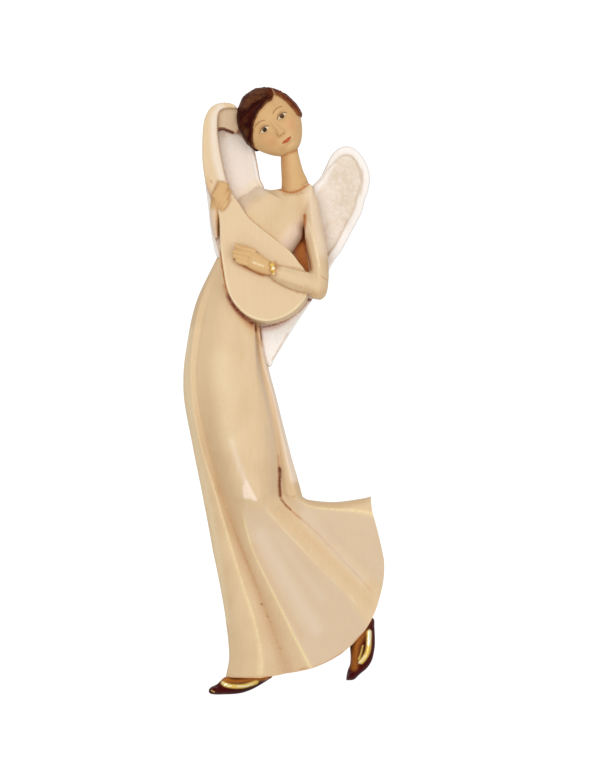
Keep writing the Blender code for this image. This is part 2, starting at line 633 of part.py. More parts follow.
def bracelet(material):
    """The gilt band round the wrist."""
    start, end = BRACELET
    stations = []
    for share, thickness in BRACELET_SHAPE:
        across = start[0] + (end[0] - start[0]) * share
        up = start[1] + (end[1] - start[1]) * share
        lift = BRACELET_LIFT * math.sin(share * math.pi) ** 0.5
        radius = BRACELET_RADIUS * thickness
        stations.append((across, up, WRIST_DEPTH + lift, radius, radius))
    return limb("bracelet form", stations, material, sides=8, rows=7)


def flat_back_cutter(material):
    """A block that covers everything behind the flat back."""
    reach = FIGURE_HEIGHT * 2
    corners = [Vector((x, y, z)) for y in (0.0, reach) for z in (-reach, reach) for x in (-reach, reach)]
    faces = [(0, 1, 3, 2), (4, 6, 7, 5), (0, 4, 5, 1), (2, 3, 7, 6), (0, 2, 6, 4), (1, 5, 7, 3)]
    return object_from("flat back cutter", corners, faces, material)


def build():
    for old in list(bpy.data.objects):
        bpy.data.objects.remove(old)

    gown_paint = new_material("gown paint", (0.76, 0.58, 0.36), 0.5)
    lute_paint = new_material("lute paint", (0.78, 0.60, 0.38), 0.5)
    wing_paint = new_material("wing paint", (0.80, 0.70, 0.61), 0.6)
    skin_paint = new_material("skin paint", (0.72, 0.44, 0.19), 0.45)
    hair_paint = new_material("hair paint", (0.045, 0.008, 0.006), 0.4)
    shoe_paint = new_material("shoe paint", (0.08, 0.006, 0.008), 0.35)
    gilding = new_material("gilding", (0.85, 0.60, 0.22), 0.3, metallic=0.8)
    bare_wood = new_material("bare wood", (0.45, 0.28, 0.14), 0.7)

    angel = gown(gown_paint)
    forms = [
        torso(gown_paint),
        wing("left wing form", LEFT_WING_OUTLINE, LEFT_WING_SPINE, LEFT_WING_OUT, WING_NARROW_RIM,
             WING_NARROW_RIM, LEFT_WING_SUNK, wing_paint),
        wing("right wing form", RIGHT_WING_OUTLINE, RIGHT_WING_SPINE, RIGHT_WING_OUT, WING_NARROW_RIM,
             WING_WIDE_RIM, RIGHT_WING_SUNK, wing_paint),
        lute(lute_paint),
        peg_box(lute_paint),
        limb("upper arm form", UPPER_ARM, gown_paint, rows=15, facet=0.15),
        limb("forearm form", FOREARM, gown_paint, rows=8),
        limb("palm form", PALM, skin_paint, rows=6),
        limb("neck form", NECK, skin_paint, rows=6),
        limb("grip wrist form", GRIP_WRIST, skin_paint, sides=10, rows=7),
        head(skin_paint),
        hair(hair_paint),
        bracelet(gilding),
        shoe("left shoe form", LEFT_SHOE_OUTLINE, LEFT_SHOE_SPINE, shoe_paint),
        shoe("right shoe form", RIGHT_SHOE_OUTLINE, RIGHT_SHOE_SPINE, shoe_paint),
    ]
    for index, (root, tip) in enumerate(FLAT_FINGERS):
        forms.append(finger(f"flat finger form {index + 1}", root, tip, HAND_DEPTH, skin_paint))
    for index, (root, tip) in enumerate(GRIP_FINGERS):
        name = f"grip finger form {index + 1}"
        forms.append(finger(name, root, tip, GRIP_DEPTH, skin_paint, GRIP_FINGER_BEND))

    helpers = bpy.data.collections.new("forms")
    bpy.context.scene.collection.children.link(helpers)
    cutter = flat_back_cutter(bare_wood)
    for form in forms + [cutter]:
        form.hide_render = True
        form.display_type = "WIRE"
    for form in forms:
        bpy.context.scene.collection.objects.unlink(form)
        helpers.objects.link(form)

    angel.name = "angel"
    angel.data.name = "angel"
    angel.data.materials.append(bare_wood)
    join = angel.modifiers.new("join the forms", "BOOLEAN")
    join.operation = "UNION"
    join.solver = "EXACT"
    join.operand_type = "COLLECTION"
    join.collection = helpers
    join.material_mode = "TRANSFER"
    flatten = angel.modifiers.new("cut the back flat", "BOOLEAN")
    flatten.operation = "DIFFERENCE"
    flatten.solver = "EXACT"
    flatten.object = cutter
    flatten.material_mode = "TRANSFER"


build()
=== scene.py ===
"""The looks of a painted wooden angel with a lute, carved in high relief with a flat back.

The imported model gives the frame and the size. Places come from a squared drawing of the front view,
squares across and squares up, and depths are metres forward from the flat back. The painted details are
strokes on the same drawing, so they sit on the carved forms whatever the camera does.
"""

import math

import bmesh
import bpy
import numpy as np
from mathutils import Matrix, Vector
from mathutils.bvhtree import BVHTree


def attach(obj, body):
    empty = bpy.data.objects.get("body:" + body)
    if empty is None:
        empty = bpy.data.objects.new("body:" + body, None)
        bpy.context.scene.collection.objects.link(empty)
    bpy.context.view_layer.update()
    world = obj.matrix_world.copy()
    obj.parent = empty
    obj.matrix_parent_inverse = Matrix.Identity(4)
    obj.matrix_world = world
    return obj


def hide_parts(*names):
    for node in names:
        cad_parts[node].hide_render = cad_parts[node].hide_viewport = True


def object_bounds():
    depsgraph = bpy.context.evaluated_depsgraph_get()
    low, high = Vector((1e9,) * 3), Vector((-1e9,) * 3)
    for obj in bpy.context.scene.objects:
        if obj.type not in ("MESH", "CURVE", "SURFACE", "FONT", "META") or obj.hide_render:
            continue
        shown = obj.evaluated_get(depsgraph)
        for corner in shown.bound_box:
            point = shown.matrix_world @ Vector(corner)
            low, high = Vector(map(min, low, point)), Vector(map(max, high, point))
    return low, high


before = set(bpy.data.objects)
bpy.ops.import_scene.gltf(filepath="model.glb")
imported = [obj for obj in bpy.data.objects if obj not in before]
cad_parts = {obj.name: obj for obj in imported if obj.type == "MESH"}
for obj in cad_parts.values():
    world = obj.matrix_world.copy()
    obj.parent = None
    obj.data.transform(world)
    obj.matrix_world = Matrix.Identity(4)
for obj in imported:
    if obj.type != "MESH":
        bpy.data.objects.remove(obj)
cad_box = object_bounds()

# The squared drawing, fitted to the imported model's box
LEFTMOST_SQUARE = 0.333
LOWEST_SQUARE = 0.543
HIGHEST_SQUARE = 61.233
LEFT, BOTTOM, TOP = cad_box[0].x, cad_box[0].z, cad_box[1].z
SQUARE = (TOP - BOTTOM) / (HIGHEST_SQUARE - LOWEST_SQUARE)

# Depths of the carved forms, forward from the flat back
GOWN_DEPTH = 0.031
TORSO_DEPTH = 0.026
TORSO_ROUND = 0.016
WING_THICKNESS = 0.0085
WING_EDGE_DEPTH = 0.005
WING_EDGE_ROUND = 0.00168
WING_CROWN = 0.0004
WING_WIDE_RIM = 0.0070
WING_NARROW_RIM = 0.0035
WING_NO_RIM = 0.0008
# How squarely a place must face the wing's outer side for the rim to start to widen and to be full
RIM_WIDENS = (-0.95, 0.5)
# Where the rim's inner slope and the field's soft crown start and end, in widths of the rim
RIM_SLOPE = (0.78, 1.25)
CROWN_SLOPE = (1.2, 2.6)
# Heights, in squares, between which a wing's sunk field runs out
FIELD_END = (37.0, 43.0)
RIGHT_WING_SUNK = 0.0026
LEFT_WING_SUNK = 0.0010
LUTE_BODY_DEPTH = 0.035
LUTE_TOP_DEPTH = 0.023
LUTE_NECK_DEPTH = 0.025
LUTE_SHOULDER_DEPTH = 0.031
# Where those depths of top, neck, shoulder and body lie, and where the wall's slant sets in, as shares
# of the way from the peg box to the end of the body
LUTE_SHARES = (0.0, 0.45, 0.7, 1.0)
SLANT_SETS_IN = (0.6, 0.8)
LUTE_EDGE_ROUND = 0.0014
LUTE_FLOOR = 0.0005
PEG_BOX_DEPTH = 0.016
PEG_BOX_DROP = 0.005
PEG_BOX_EDGE_ROUND = 0.001
HEAD_CENTRE_DEPTH = 0.018
WRIST_DEPTH = 0.037
BRACELET_RISE = 0.0055
BEAD_RADIUS = 0.0012
BEADS = 3
BRACELET_STATIONS = 61
HAND_DEPTH = 0.0375
FINGER_RADIUS = 0.0024
GRIP_DEPTH = 0.026
GRIP_FINGER_BEND = 0.001
SHOE_DEPTH = 0.0105
SHOE_ROUND = 0.0065
# The shoe's edge as a share of its depth
SHOE_EDGE = 0.25

# The backs of the forms lie this far apart, so that no two share a plane
BACK_STEP = 0.00012

# The head, whose face is a plain carved one on even proportions
HEAD_LENGTH = 0.0640
HEAD_WIDTH = 0.0525
HEAD_HALF_DEPTH = 0.0215
HEAD_TILT = math.radians(38.0)
JAW_NARROWING = 0.14
HEAD_ACROSS = 9.15
HEAD_UP = 57.6
HAIR_THICKNESS = 0.0018
STRAND_GROOVE = 0.00022
FINE_GROOVE = 0.00010
# How far the first and last rings stay off the poles, in ring steps, both together
POLE_GAP = 0.7

# Fold lines of the gown from the waist to the knee and from the knee to the hem, left to right:
# squares across, squares up, depth as a share of GOWN_DEPTH
GOWN_FOLDS = (
    (((4.1, 45, 0.12), (1.7, 40, 0.12), (0.7, 35.5, 0.12), (0.35, 30.8, 0.12), (1.25, 25.5, 0.12),
      (2.3, 20.3, 0.12)),
     ((3.2, 15.5, 0.12), (4.35, 9.5, 0.12), (4.92, 4.8, 0.12), (4.6, 2.3, 0.12))),
    (((4.4, 44.8, 0.36), (2.2, 40.3, 0.42), (1.25, 35.5, 0.46), (1.15, 31.5, 0.48), (1.95, 26, 0.49),
      (3.7, 20.4, 0.49)),
     ((4.9, 16.2, 0.48), (6.1, 12.2, 0.48), (7.5, 7.8, 0.48), (8.15, 4.3, 0.48), (8.05, 2.25, 0.47))),
    (((4.9, 44.5, 0.44), (2.9, 40, 0.46), (1.9, 35, 0.46), (1.75, 31, 0.43), (2.6, 26, 0.38),
      (4.25, 20.4, 0.34)),
     ((5.4, 16.7, 0.33), (7.1, 12.3, 0.33), (8.8, 8, 0.35), (10.65, 2.7, 0.38))),
    (((6, 43.5, 0.78), (5.2, 38, 0.84), (4.8, 32, 0.9), (5, 28, 0.95), (5.9, 24, 0.98),
      (6.35, 20.3, 0.96)),
     ((6.4, 18.4, 0.72), (7.3, 15, 0.62), (9.1, 11.2, 0.58), (11.4, 6.5, 0.57), (13.1, 3.2, 0.56))),
    (((6.8, 43.5, 0.86), (6.5, 38, 0.93), (6.4, 31, 0.98), (6.7, 26, 1), (7.3, 20.2, 1)),
     ((7.8, 18, 0.7), (9.3, 14.8, 0.5), (12, 10.4, 0.44), (14.5, 6.9, 0.44), (16.2, 4.7, 0.44))),
    (((7.3, 43, 0.74), (7.5, 37, 0.8), (7.75, 31, 0.86), (7.95, 25, 0.92), (8.2, 20.3, 0.92)),
     ((8.9, 18.6, 0.72), (10.9, 16.55, 0.57), (13.9, 13.4, 0.53), (16.8, 10.4, 0.5), (18.7, 7.35, 0.46))),
    (((7.5, 42, 0.5), (7.5, 37.2, 0.5), (8, 33.6, 0.48), (9, 30.2, 0.44), (9.75, 26, 0.38),
      (10, 23, 0.28), (10.1, 20.7, 0.26)),
     ((11, 19.1, 0.34), (12.9, 17.3, 0.4), (16, 14.4, 0.42), (19.95, 10.3, 0.33))),
    (((7.65, 41.8, 0.52), (7.7, 37, 0.52), (8.2, 33.6, 0.5), (9.2, 30.2, 0.47), (9.98, 26, 0.43),
      (10.4, 23, 0.38), (10.7, 20.6, 0.38)),
     ((12.1, 19.25, 0.42), (14.6, 17.7, 0.5), (17.2, 16.4, 0.5), (20.4, 14, 0.42))),
    (((7.8, 41.6, 0.52), (7.95, 36.8, 0.52), (8.5, 33.6, 0.5), (9.4, 30.2, 0.5), (10.3, 26.2, 0.48),
      (11, 23, 0.45), (11.7, 20.2, 0.43)),
     ((13, 19.35, 0.44), (15.3, 19.1, 0.47), (17.3, 19, 0.48), (19.25, 18.7, 0.47))),
    (((8.1, 41.4, 0.1), (8.25, 36.6, 0.1), (8.85, 33.3, 0.1), (9.8, 29.6, 0.1), (11, 24.8, 0.1),
      (11.7, 22.4, 0.1), (12.25, 20.35, 0.1)),
     ((13, 20, 0.1), (15.5, 19.8, 0.1), (18, 20.1, 0.1), (19.1, 20.35, 0.1))),
)

# How much the cloth between one fold line and the next swells, on the leg and on the flare
GOWN_SWELLS = (
    (0.2, 0.2), (-0.04, -0.05), (0.16, -0.06), (0.05, -0.03), (0.05, -0.03),
    (0.14, -0.03), (0, 0.04), (0.05, 0.04), (0.22, 0.2),
)

# How soft each fold line's crest or crease is, from 0, a crisp line, to 1
GOWN_SOFTNESS = (1, 0.25, 0.2, 0.5, 0.9, 0.5, 0.1, 0.5, 0.35, 1)
FLARE_BOW = 16.0
LEG_STATIONS = 121
FLARE_STATIONS = 101
# Stations between which the flare's swells take over from the leg's
FLARE_SETS_IN = (LEG_STATIONS - 9, LEG_STATIONS + 5)
PANEL_COLUMNS = 14
SOFTEN_PASSES = 14
# Where the rings of the gown's wall lie, as shares of the way from the flat back to its front
GOWN_WALL_SHARES = (0.66, 0.33, 0.0)

# Outlines in squares across and up
TORSO_OUTLINE = (
    (7, 50.8), (7.8, 51.3), (8.4, 51.15), (9, 51), (10, 51.1), (11.5, 51.5), (12.9, 51.6),
    (13.3, 50.9), (13.1, 49.5), (12.5, 48.4), (12.35, 47), (12.25, 46.3), (11.45, 45.1), (10.9, 44.2),
    (10.4, 43), (10.2, 40), (8.7, 37.8), (6.2, 37.6), (4.6, 40.5), (4.2, 44), (4.6, 47.5), (5.6, 49.8),
)
TORSO_SPINE = ((10.6, 49.6), (9.6, 47.5), (8.6, 45), (7.9, 42), (7.4, 40))
# Depth of the chest's edge: low by the wing, high at the neck and the shoulder
TORSO_EDGE_SPOTS = (
    (5.6, 49.8, 0.0068), (7, 50.8, 0.0068), (8.4, 51.2, 0.011), (9.8, 51, 0.018), (11.2, 51.4, 0.0235),
    (12.9, 51.5, 0.023), (13.3, 50, 0.023), (12.6, 48.6, 0.0205), (12.3, 46.4, 0.012), (10.4, 43, 0.012),
    (7.4, 37.7, 0.012), (4.6, 40.5, 0.012), (4.3, 45.5, 0.01),
)
TORSO_EDGE_REACH = 0.9

LEFT_WING_OUTLINE = (
    (4.2, 57.7), (5.4, 57.7), (6.3, 57.1), (7, 56.2), (7.4, 55.2), (7.65, 54.1), (7.85, 53), (8.05, 52),
    (8.4, 51.2), (8.2, 49.5), (7.2, 46.5), (6, 43.8), (4.6, 43.3), (3.7, 44.3), (3.3, 45.7), (3, 47.5),
    (2.8, 49.5), (2.5, 52), (2.35, 54), (2.45, 56), (3.1, 57.2),
)
LEFT_WING_SPINE = ((4.9, 55.3), (5.1, 51.5), (5, 47), (4.7, 45.3))
LEFT_WING_OUT = (-0.8, 0.6)

RIGHT_WING_OUTLINE = (
    (13.2, 51.3), (14, 52.2), (14.6, 53.4), (15.1, 54.4), (15.8, 55.1), (16.6, 55.35), (17.4, 55.15),
    (18.1, 54.5), (18.7, 53.5), (19, 52.3), (18.85, 51), (18.5, 50), (18.2, 48.8), (17.7, 47.8),
    (17, 46.5), (16.2, 45), (15.4, 43.9), (14.9, 43), (13.2, 40), (11.8, 37.9), (10.6, 36),
    (9.5, 34.2), (8.95, 33.3), (8, 34.6), (7.5, 37.5), (8.3, 41.5), (10, 45), (11.6, 48.5),
)
RIGHT_WING_SPINE = ((16.5, 52.3), (15.6, 49.5), (13.8, 46), (11.5, 41.5), (9.6, 37.4), (8.9, 35.3))
RIGHT_WING_OUT = (0.8, 0.6)

LUTE_OUTLINE = (
    (5.65, 59.15), (5.3, 59.5), (4.7, 59.65), (4.1, 59.63), (3.5, 59.45), (2.95, 59), (2.5, 58.1),
    (2.32, 57), (2.25, 55.2), (2.32, 53.5), (2.6, 51.7), (3.2, 50.2), (3.75, 49), (3.95, 47.8), (4, 46),
    (4.15, 44.5), (4.4, 42.8), (4.7, 41.2), (5.15, 40.1), (5.8, 39.2), (6.7, 38.4), (7.7, 37.95),
    (8.7, 37.8), (9.7, 38), (10.6, 38.35), (11.5, 38.9), (12.2, 39.6), (12.7, 40.4), (12.85, 41.6),
    (12.5, 42.9), (11.9, 43.7), (11.3, 44.5), (10.5, 45.25), (9.6, 45.95), (8.7, 46.65), (7.8, 47.35),
    (7, 48.05), (6.5, 48.7), (5.95, 49.6), (5.4, 50.35), (4.9, 51.3), (4.5, 52.4), (4.25, 53.5),
    (4.05, 54.5), (3.85, 55.8), (3.75, 57), (3.8, 58.4), (4.1, 58.95), (4.8, 59.15),
)
LUTE_SPINE = (
    (4.95, 59.4), (4, 59.25), (3.3, 58.9), (3.05, 57.8), (3, 56), (3.15, 54.5), (3.5, 52.5), (4.3, 50.5),
    (5.6, 48.3), (6.8, 46), (8, 43.5), (8.7, 42),
)
LUTE_WALL_SLANT = (0.1, -0.42)

PEG_BOX_OUTLINE = (
    (3.6, 59.3), (5.75, 59.15), (5.95, 58.3), (5.95, 57.4), (5.75, 56.7), (4.8, 56.95), (4.2, 57.1),
    (3.6, 57.05),
)
PEG_BOX_SPINE = ((4.6, 58.4), (4.6, 57.9))

RIGHT_SHOE_OUTLINE = (
    (19.3, 8.2), (19.45, 7.2), (19.5, 6), (19.45, 5.1), (19.2, 4), (18.7, 3.2), (18, 2.6), (17.4, 2.05),
    (16.9, 1.98), (16.62, 2.05), (16.75, 2.9), (17, 3.6), (17.05, 4.4), (17, 5.3), (17, 6.2), (18, 8.2),
)
RIGHT_SHOE_SPINE = ((17.3, 2.9), (18.2, 4.6), (18.5, 6.8))
LEFT_SHOE_OUTLINE = (
    (5.6, 2.4), (4.5, 2.3), (3.7, 1.6), (3.1, 1.3), (2.86, 0.95), (3, 0.66), (3.5, 0.55), (4.4, 0.56),
    (5.4, 0.6), (6.3, 0.74), (7.2, 1.07), (8, 1.5), (8.8, 2), (9.25, 2.4), (8.6, 3), (7, 2.9),
)
LEFT_SHOE_SPINE = ((3.9, 1.2), (5.5, 1.6), (7.6, 2.1))

# Limbs: squares across, squares up, depth of the middle, half width and half depth in metres
UPPER_ARM = (
    (12.6, 51.2, 0.013, 0.002, 0.004), (12.85, 50.7, 0.0145, 0.0046, 0.0072),
    (13.05, 49.8, 0.016, 0.006, 0.009), (13.15, 48.6, 0.0175, 0.007, 0.0102),
    (13.35, 47, 0.019, 0.0076, 0.0115), (13.65, 45.2, 0.0215, 0.0083, 0.0125),
    (13.87, 43.2, 0.0235, 0.0081, 0.013), (13.87, 41.8, 0.025, 0.008, 0.0125),
    (13.75, 40.9, 0.026, 0.0078, 0.011), (13.65, 40.35, 0.026, 0.0062, 0.0085),
    (13.6, 40.05, 0.026, 0.0035, 0.005),
)
FOREARM = (
    (14.4, 41.3, 0.025, 0.0058, 0.0095), (13.9, 41.35, 0.0272, 0.008, 0.011),
    (13.2, 41.5, 0.0292, 0.0088, 0.0112), (12.2, 41.8, 0.0335, 0.0088, 0.01),
    (11, 42.15, 0.0355, 0.008, 0.0085), (10, 42.55, 0.0365, 0.0068, 0.0072),
    (9.35, 42.9, 0.037, 0.0058, 0.0062),
)
PALM = (
    (9.9, 42.7, 0.037, 0.005, 0.005), (9.2, 43, 0.0375, 0.0056, 0.0048),
    (8.3, 43.35, 0.038, 0.0068, 0.0046), (7.4, 43.85, 0.038, 0.0072, 0.0042),
    (6.9, 44.1, 0.0375, 0.006, 0.0032),
)
NECK = (
    (10.9, 55.3, 0.017, 0.0066, 0.008), (11.05, 53.8, 0.0165, 0.008, 0.009),
    (11.25, 52.6, 0.0165, 0.0092, 0.0095), (11.45, 51.7, 0.0165, 0.0108, 0.0105),
    (11.6, 50.8, 0.016, 0.012, 0.0105), (11.75, 50.2, 0.0125, 0.0124, 0.01),
    (11.85, 49.6, 0.008, 0.0118, 0.008),
)
GRIP_WRIST = (
    (3.7, 46.2, 0.012, 0.0018, 0.006), (3.58, 47.4, 0.014, 0.0034, 0.008),
    (3.62, 48.5, 0.017, 0.005, 0.009), (3.8, 49.6, 0.02, 0.0062, 0.009),
    (4.1, 50.7, 0.022, 0.0066, 0.008), (4.35, 51.7, 0.023, 0.005, 0.005),
)

# Fingers: root and tip in squares across and up
FLAT_FINGERS = (
    ((7.6, 44.75), (5.45, 45.35)), ((7.4, 44.3), (5.2, 44.85)), ((7.3, 43.8), (5.25, 44.4)),
    ((7.5, 43.35), (5.55, 43.95)),
)
GRIP_FINGERS = (
    ((3.4, 50.2), (4.35, 51.75)), ((3.6, 49.6), (4.8, 51.5)), ((3.9, 49.1), (5.05, 50.95)),
    ((4.15, 48.8), (4.95, 50.2)),
)
FINGER_SHAPE = ((0, 0.95), (0.35, 1.05), (0.7, 0.95), (0.92, 0.75), (1, 0.35))
BRACELET = ((9.12, 43.75), (9.5, 42.3))

# Where the hair ends on the front of the head, in shares of half the head's width and length
HAIRLINE = (
    (-0.99, -0.45), (-0.86, -0.1), (-0.6, 0.15), (-0.28, 0.36), (0.07, 0.46), (0.48, 0.47), (0.64, 0.56),
    (0.72, 0.5), (0.8, 0.3), (0.84, 0.05), (0.84, -0.25), (0.99, -0.55),
)
HAIRLINE_MIDDLE = (0, -0.2)
HAIR_FEATHER = 0.05
HAIR_NAPE = (-0.45, -0.3)
HAIR_NAPE_AHEAD = 0.05
PARTING = (0.66, 0.6)


# Makers: steps between a curve's points and along a spine, how near the last ring comes to the spine,
# how the rings crowd to the edge, where the wall's rings lie, and how near a limb comes to the flat back
CURVE_STEPS = 24
SPINE_STEPS = 60
SPINE_REACH = 0.985
EDGE_CROWDING = 1.9
WALL_SHARES = (0.35, 0.7)
LIMB_BACK = 0.0008
# Melted pieces: the size of a cell in metres and how often the skin is softened
CHEST_VOXEL, CHEST_PASSES = 0.0006, 7
HAND_VOXEL, HAND_PASSES = 0.0004, 3
# Edges that turn by more than this stay crisp
SHARP_ANGLE = math.radians(50.0)


def place(across, up, depth):
    """The world point for a place on the squared drawing and a depth forward from the flat back."""
    return np.stack(np.broadcast_arrays(
        LEFT + (across - LEFTMOST_SQUARE) * SQUARE, -depth, BOTTOM + (up - LOWEST_SQUARE) * SQUARE), axis=-1)


def on_drawing(points):
    """Squares across and up of world points."""
    across = LEFTMOST_SQUARE + (points[:, 0] - LEFT) / SQUARE
    up = LOWEST_SQUARE + (points[:, 2] - BOTTOM) / SQUARE
    return np.stack([across, up], axis=1)


def smoothstep(value, low, high):
    share = np.clip((np.asarray(value, float) - low) / (high - low), 0.0, 1.0)
    return share * share * (3 - 2 * share)


def bump(value, middle, width):
    return np.exp(-(((np.asarray(value, float) - middle) / width) ** 2))


def smooth_line(points, count, closed=False):
    """Samples a smooth curve through the points, evenly along its length."""
    knots = np.array(points, dtype=float)
    total = len(knots)
    fine = []
    steps = np.arange(CURVE_STEPS)[:, None] / CURVE_STEPS
    for span in range(total if closed else total - 1):
        if closed:
            before, start, end, after = (knots[(span + shift) % total] for shift in (-1, 0, 1, 2))
        else:
            start, end = knots[span], knots[span + 1]
            before = knots[span - 1] if span else 2 * start - end
            after = knots[span + 2] if span + 2 < total else 2 * end - start
        fine.append(0.5 * (2 * start + (end - before) * steps
                           + (2 * before - 5 * start + 4 * end - after) * steps**2
                           + (3 * start - before - 3 * end + after) * steps**3))
    fine.append(knots[:1] if closed else knots[-1:])
    fine = np.concatenate(fine)
    lengths = np.concatenate([[0.0], np.cumsum(np.linalg.norm(np.diff(fine[:, :2], axis=0), axis=1))])
    wanted = np.linspace(0.0, lengths[-1], count + closed)[:count]
    return np.stack([np.interp(wanted, lengths, fine[:, axis]) for axis in range(knots.shape[1])], axis=1)


def nearest_on(line, points):
    """Each point's distance from the line, the nearest place on it, and that place's share along it."""
    best_gap = np.full(len(points), np.inf)
    best_spot = np.zeros_like(points)
    best_share = np.zeros(len(points))
    for index in range(len(line) - 1):
        start, run = line[index], line[index + 1] - line[index]
        share = np.clip((points - start) @ run / (run @ run), 0.0, 1.0)
        spot = start + share[:, None] * run
        gap = np.linalg.norm(points - spot, axis=1)
        nearer = gap < best_gap
        best_gap[nearer] = gap[nearer]
        best_spot[nearer] = spot[nearer]
        best_share[nearer] = (index + share[nearer]) / (len(line) - 1)
    return best_gap, best_spot, best_share


def lattice(cells, seed):
    """A steady random number from 0 to 1 for each whole-numbered cell."""
    mixed_up = np.sin(cells @ np.array([127.1, 311.7, 74.7]) + seed * 53.3) * 43758.5453
    return mixed_up - np.floor(mixed_up)


def rough(points, scale, seed):
    """Smooth noise from -1 to 1 at each point. scale is its size in metres."""
    scaled = points / scale + 100.0
    cell = np.floor(scaled)
    share = scaled - cell
    share = share * share * (3 - 2 * share)
    total = np.zeros(len(points))
    for corner in np.ndindex(2, 2, 2):
        corner = np.array(corner)
        weight = np.prod(np.where(corner, share, 1 - share), axis=1)
        total += weight * lattice(cell + corner, seed)
    return total * 2 - 1


pieces = {}


def add_piece(name, points, faces):
    """A closed piece of the angel with its faces turned outwards."""
    mesh = bpy.data.meshes.new(name)
    mesh.from_pydata(np.asarray(points).tolist(), [], faces)
    work = bmesh.new()
    work.from_mesh(mesh)
    bmesh.ops.recalc_face_normals(work, faces=work.faces)
    if work.calc_volume(signed=True) < 0:
        bmesh.ops.reverse_faces(work, faces=work.faces)
    bmesh.ops.triangulate(work, faces=[face for face in work.faces if len(face.verts) > 4])
    work.to_mesh(mesh)
    work.free()
    mesh.shade_smooth()
    mesh.set_sharp_from_angle(angle=SHARP_ANGLE)
    piece = bpy.data.objects.new(name, mesh)
    bpy.context.scene.collection.objects.link(piece)
    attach(piece, "root")
    pieces[name] = piece
    return piece


def ring_faces(rows, count):
    """Quads between closed rings, with an end face at each end."""
    faces = []
    for row in range(rows - 1):
        for column in range(count):
            following = (column + 1) % count
            low, high = row * count, (row + 1) * count
            faces.append((low + column, low + following, high + following, high + column))
    faces.append(tuple(range(count)))
    faces.append(tuple((rows - 1) * count + column for column in range(count)))
    return faces


def add_rings(name, rings):
    add_piece(name, np.concatenate(rings), ring_faces(len(rings), len(rings[0])))


def rounded(inset, radius):
    """How far a rounded edge has risen at a distance in from it, from 0 to 1."""
    return np.sqrt(np.clip(1 - (1 - np.clip(inset / radius, 0, 1)) ** 2, 0, 1))


def domed(inset, reach, fullness):
    """The same for a soft dome that is full at its reach."""
    return np.sin(np.clip(inset / reach, 0, 1) * math.pi / 2) ** fullness


insets = []


def relief(outline, spine, back, depth_at, count, rows, slant=None):
    """Rings that rise from the back round an outline and run in to its spine.

    insets is left holding each point's distance in from the edge, or -1 on the wall. depth_at turns
    places, their shares along the spine, their distances in from the edge in metres and their outward
    directions into depths.
    """
    edge = smooth_line(outline, count, closed=True)
    middle = smooth_line(spine, SPINE_STEPS)
    gap, spot, along = nearest_on(middle, edge)
    outward = (edge - spot) / gap[:, None]
    edge_depth = depth_at(edge, along, np.zeros(count), outward)
    base = edge if slant is None else edge + slant(along)
    rings = [place(base[:, 0], base[:, 1], np.full(count, back))]
    insets[:] = [np.full(count, -1.0)] * (1 + len(WALL_SHARES))
    for share in WALL_SHARES:
        between = base + (edge - base) * share
        rings.append(place(between[:, 0], between[:, 1], back + (edge_depth - back) * share))
    for row in range(rows):
        share = SPINE_REACH * (row / (rows - 1)) ** EDGE_CROWDING
        moved = edge + (spot - edge) * share
        inset = gap * share * SQUARE
        insets.append(inset)
        rings.append(place(moved[:, 0], moved[:, 1], depth_at(moved, along, inset, outward)))
    return rings


def limb(stations, sides, rows, facet=0.0):
    """Rings of a tapered limb along its stations, oval in section, with an optional ridge down its front."""
    line = smooth_line(stations, rows)
    runs = np.gradient(line[:, :2], axis=0)
    runs /= np.linalg.norm(runs, axis=1)[:, None]
    angles = 2 * math.pi * np.arange(sides) / sides
    rings = []
    for (across, up, depth, half_width, half_depth), run in zip(line, runs):
        reach = half_width / SQUARE * np.cos(angles)
        rise = half_depth * np.sin(angles)
        rise = np.where(rise > 0, rise * (1 + facet * (1 - np.abs(np.cos(angles)))), rise)
        depths = np.maximum(depth + rise, LIMB_BACK)
        rings.append(place(across + run[1] * reach, up - run[0] * reach, depths))
    return rings


def finger(root, tip, depth, bend=0.0):
    stations = []
    for share, thickness in FINGER_SHAPE:
        radius = FINGER_RADIUS * thickness
        stations.append((root[0] + (tip[0] - root[0]) * share, root[1] + (tip[1] - root[1]) * share,
                         depth + bend * math.sin(share * math.pi), radius, radius * 1.1))
    return limb(stations, sides=16, rows=24)


def fuse(name, parts, voxel, passes):
    """Melts overlapping closed forms, each a list of rings, into one softened skin."""
    points, faces, start = [], [], 0
    for rings in parts:
        flat = np.concatenate(rings)
        points.append(flat)
        faces += [tuple(index + start for index in face) for face in ring_faces(len(rings), len(rings[0]))]
        start += len(flat)
    piece = add_piece(name, np.concatenate(points), faces)
    remesh = piece.modifiers.new("melt", "REMESH")
    remesh.mode = "VOXEL"
    remesh.voxel_size = voxel
    soften = piece.modifiers.new("soften", "SMOOTH")
    soften.factor = 0.5
    soften.iterations = passes
    graph = bpy.context.evaluated_depsgraph_get()
    melted = bpy.data.meshes.new_from_object(piece.evaluated_get(graph))
    piece.modifiers.clear()
    piece.data = melted
    melted.shade_smooth()


def points_of(piece):
    found = np.empty(len(piece.data.vertices) * 3)
    piece.data.vertices.foreach_get("co", found)
    return found.reshape(-1, 3)


def set_points(piece, points):
    piece.data.vertices.foreach_set("co", np.asarray(points, dtype=np.float32).ravel())
    piece.data.update()


def normals_of(piece):
    found = np.empty(len(piece.data.vertices) * 3)
    piece.data.vertex_normals.foreach_get("vector", found)
    return found.reshape(-1, 3)


def carve(piece, amount, scale, seed):
    """Gives a front the slight unevenness of hand carving."""
    points = points_of(piece)
    normals = normals_of(piece)
    front = smoothstep(-points[:, 1], 0.001, 0.003)
    swell = rough(points, scale, seed) + 0.5 * rough(points, scale * 0.4, seed + 1)
    set_points(piece, points + normals * (amount * front * swell)[:, None])


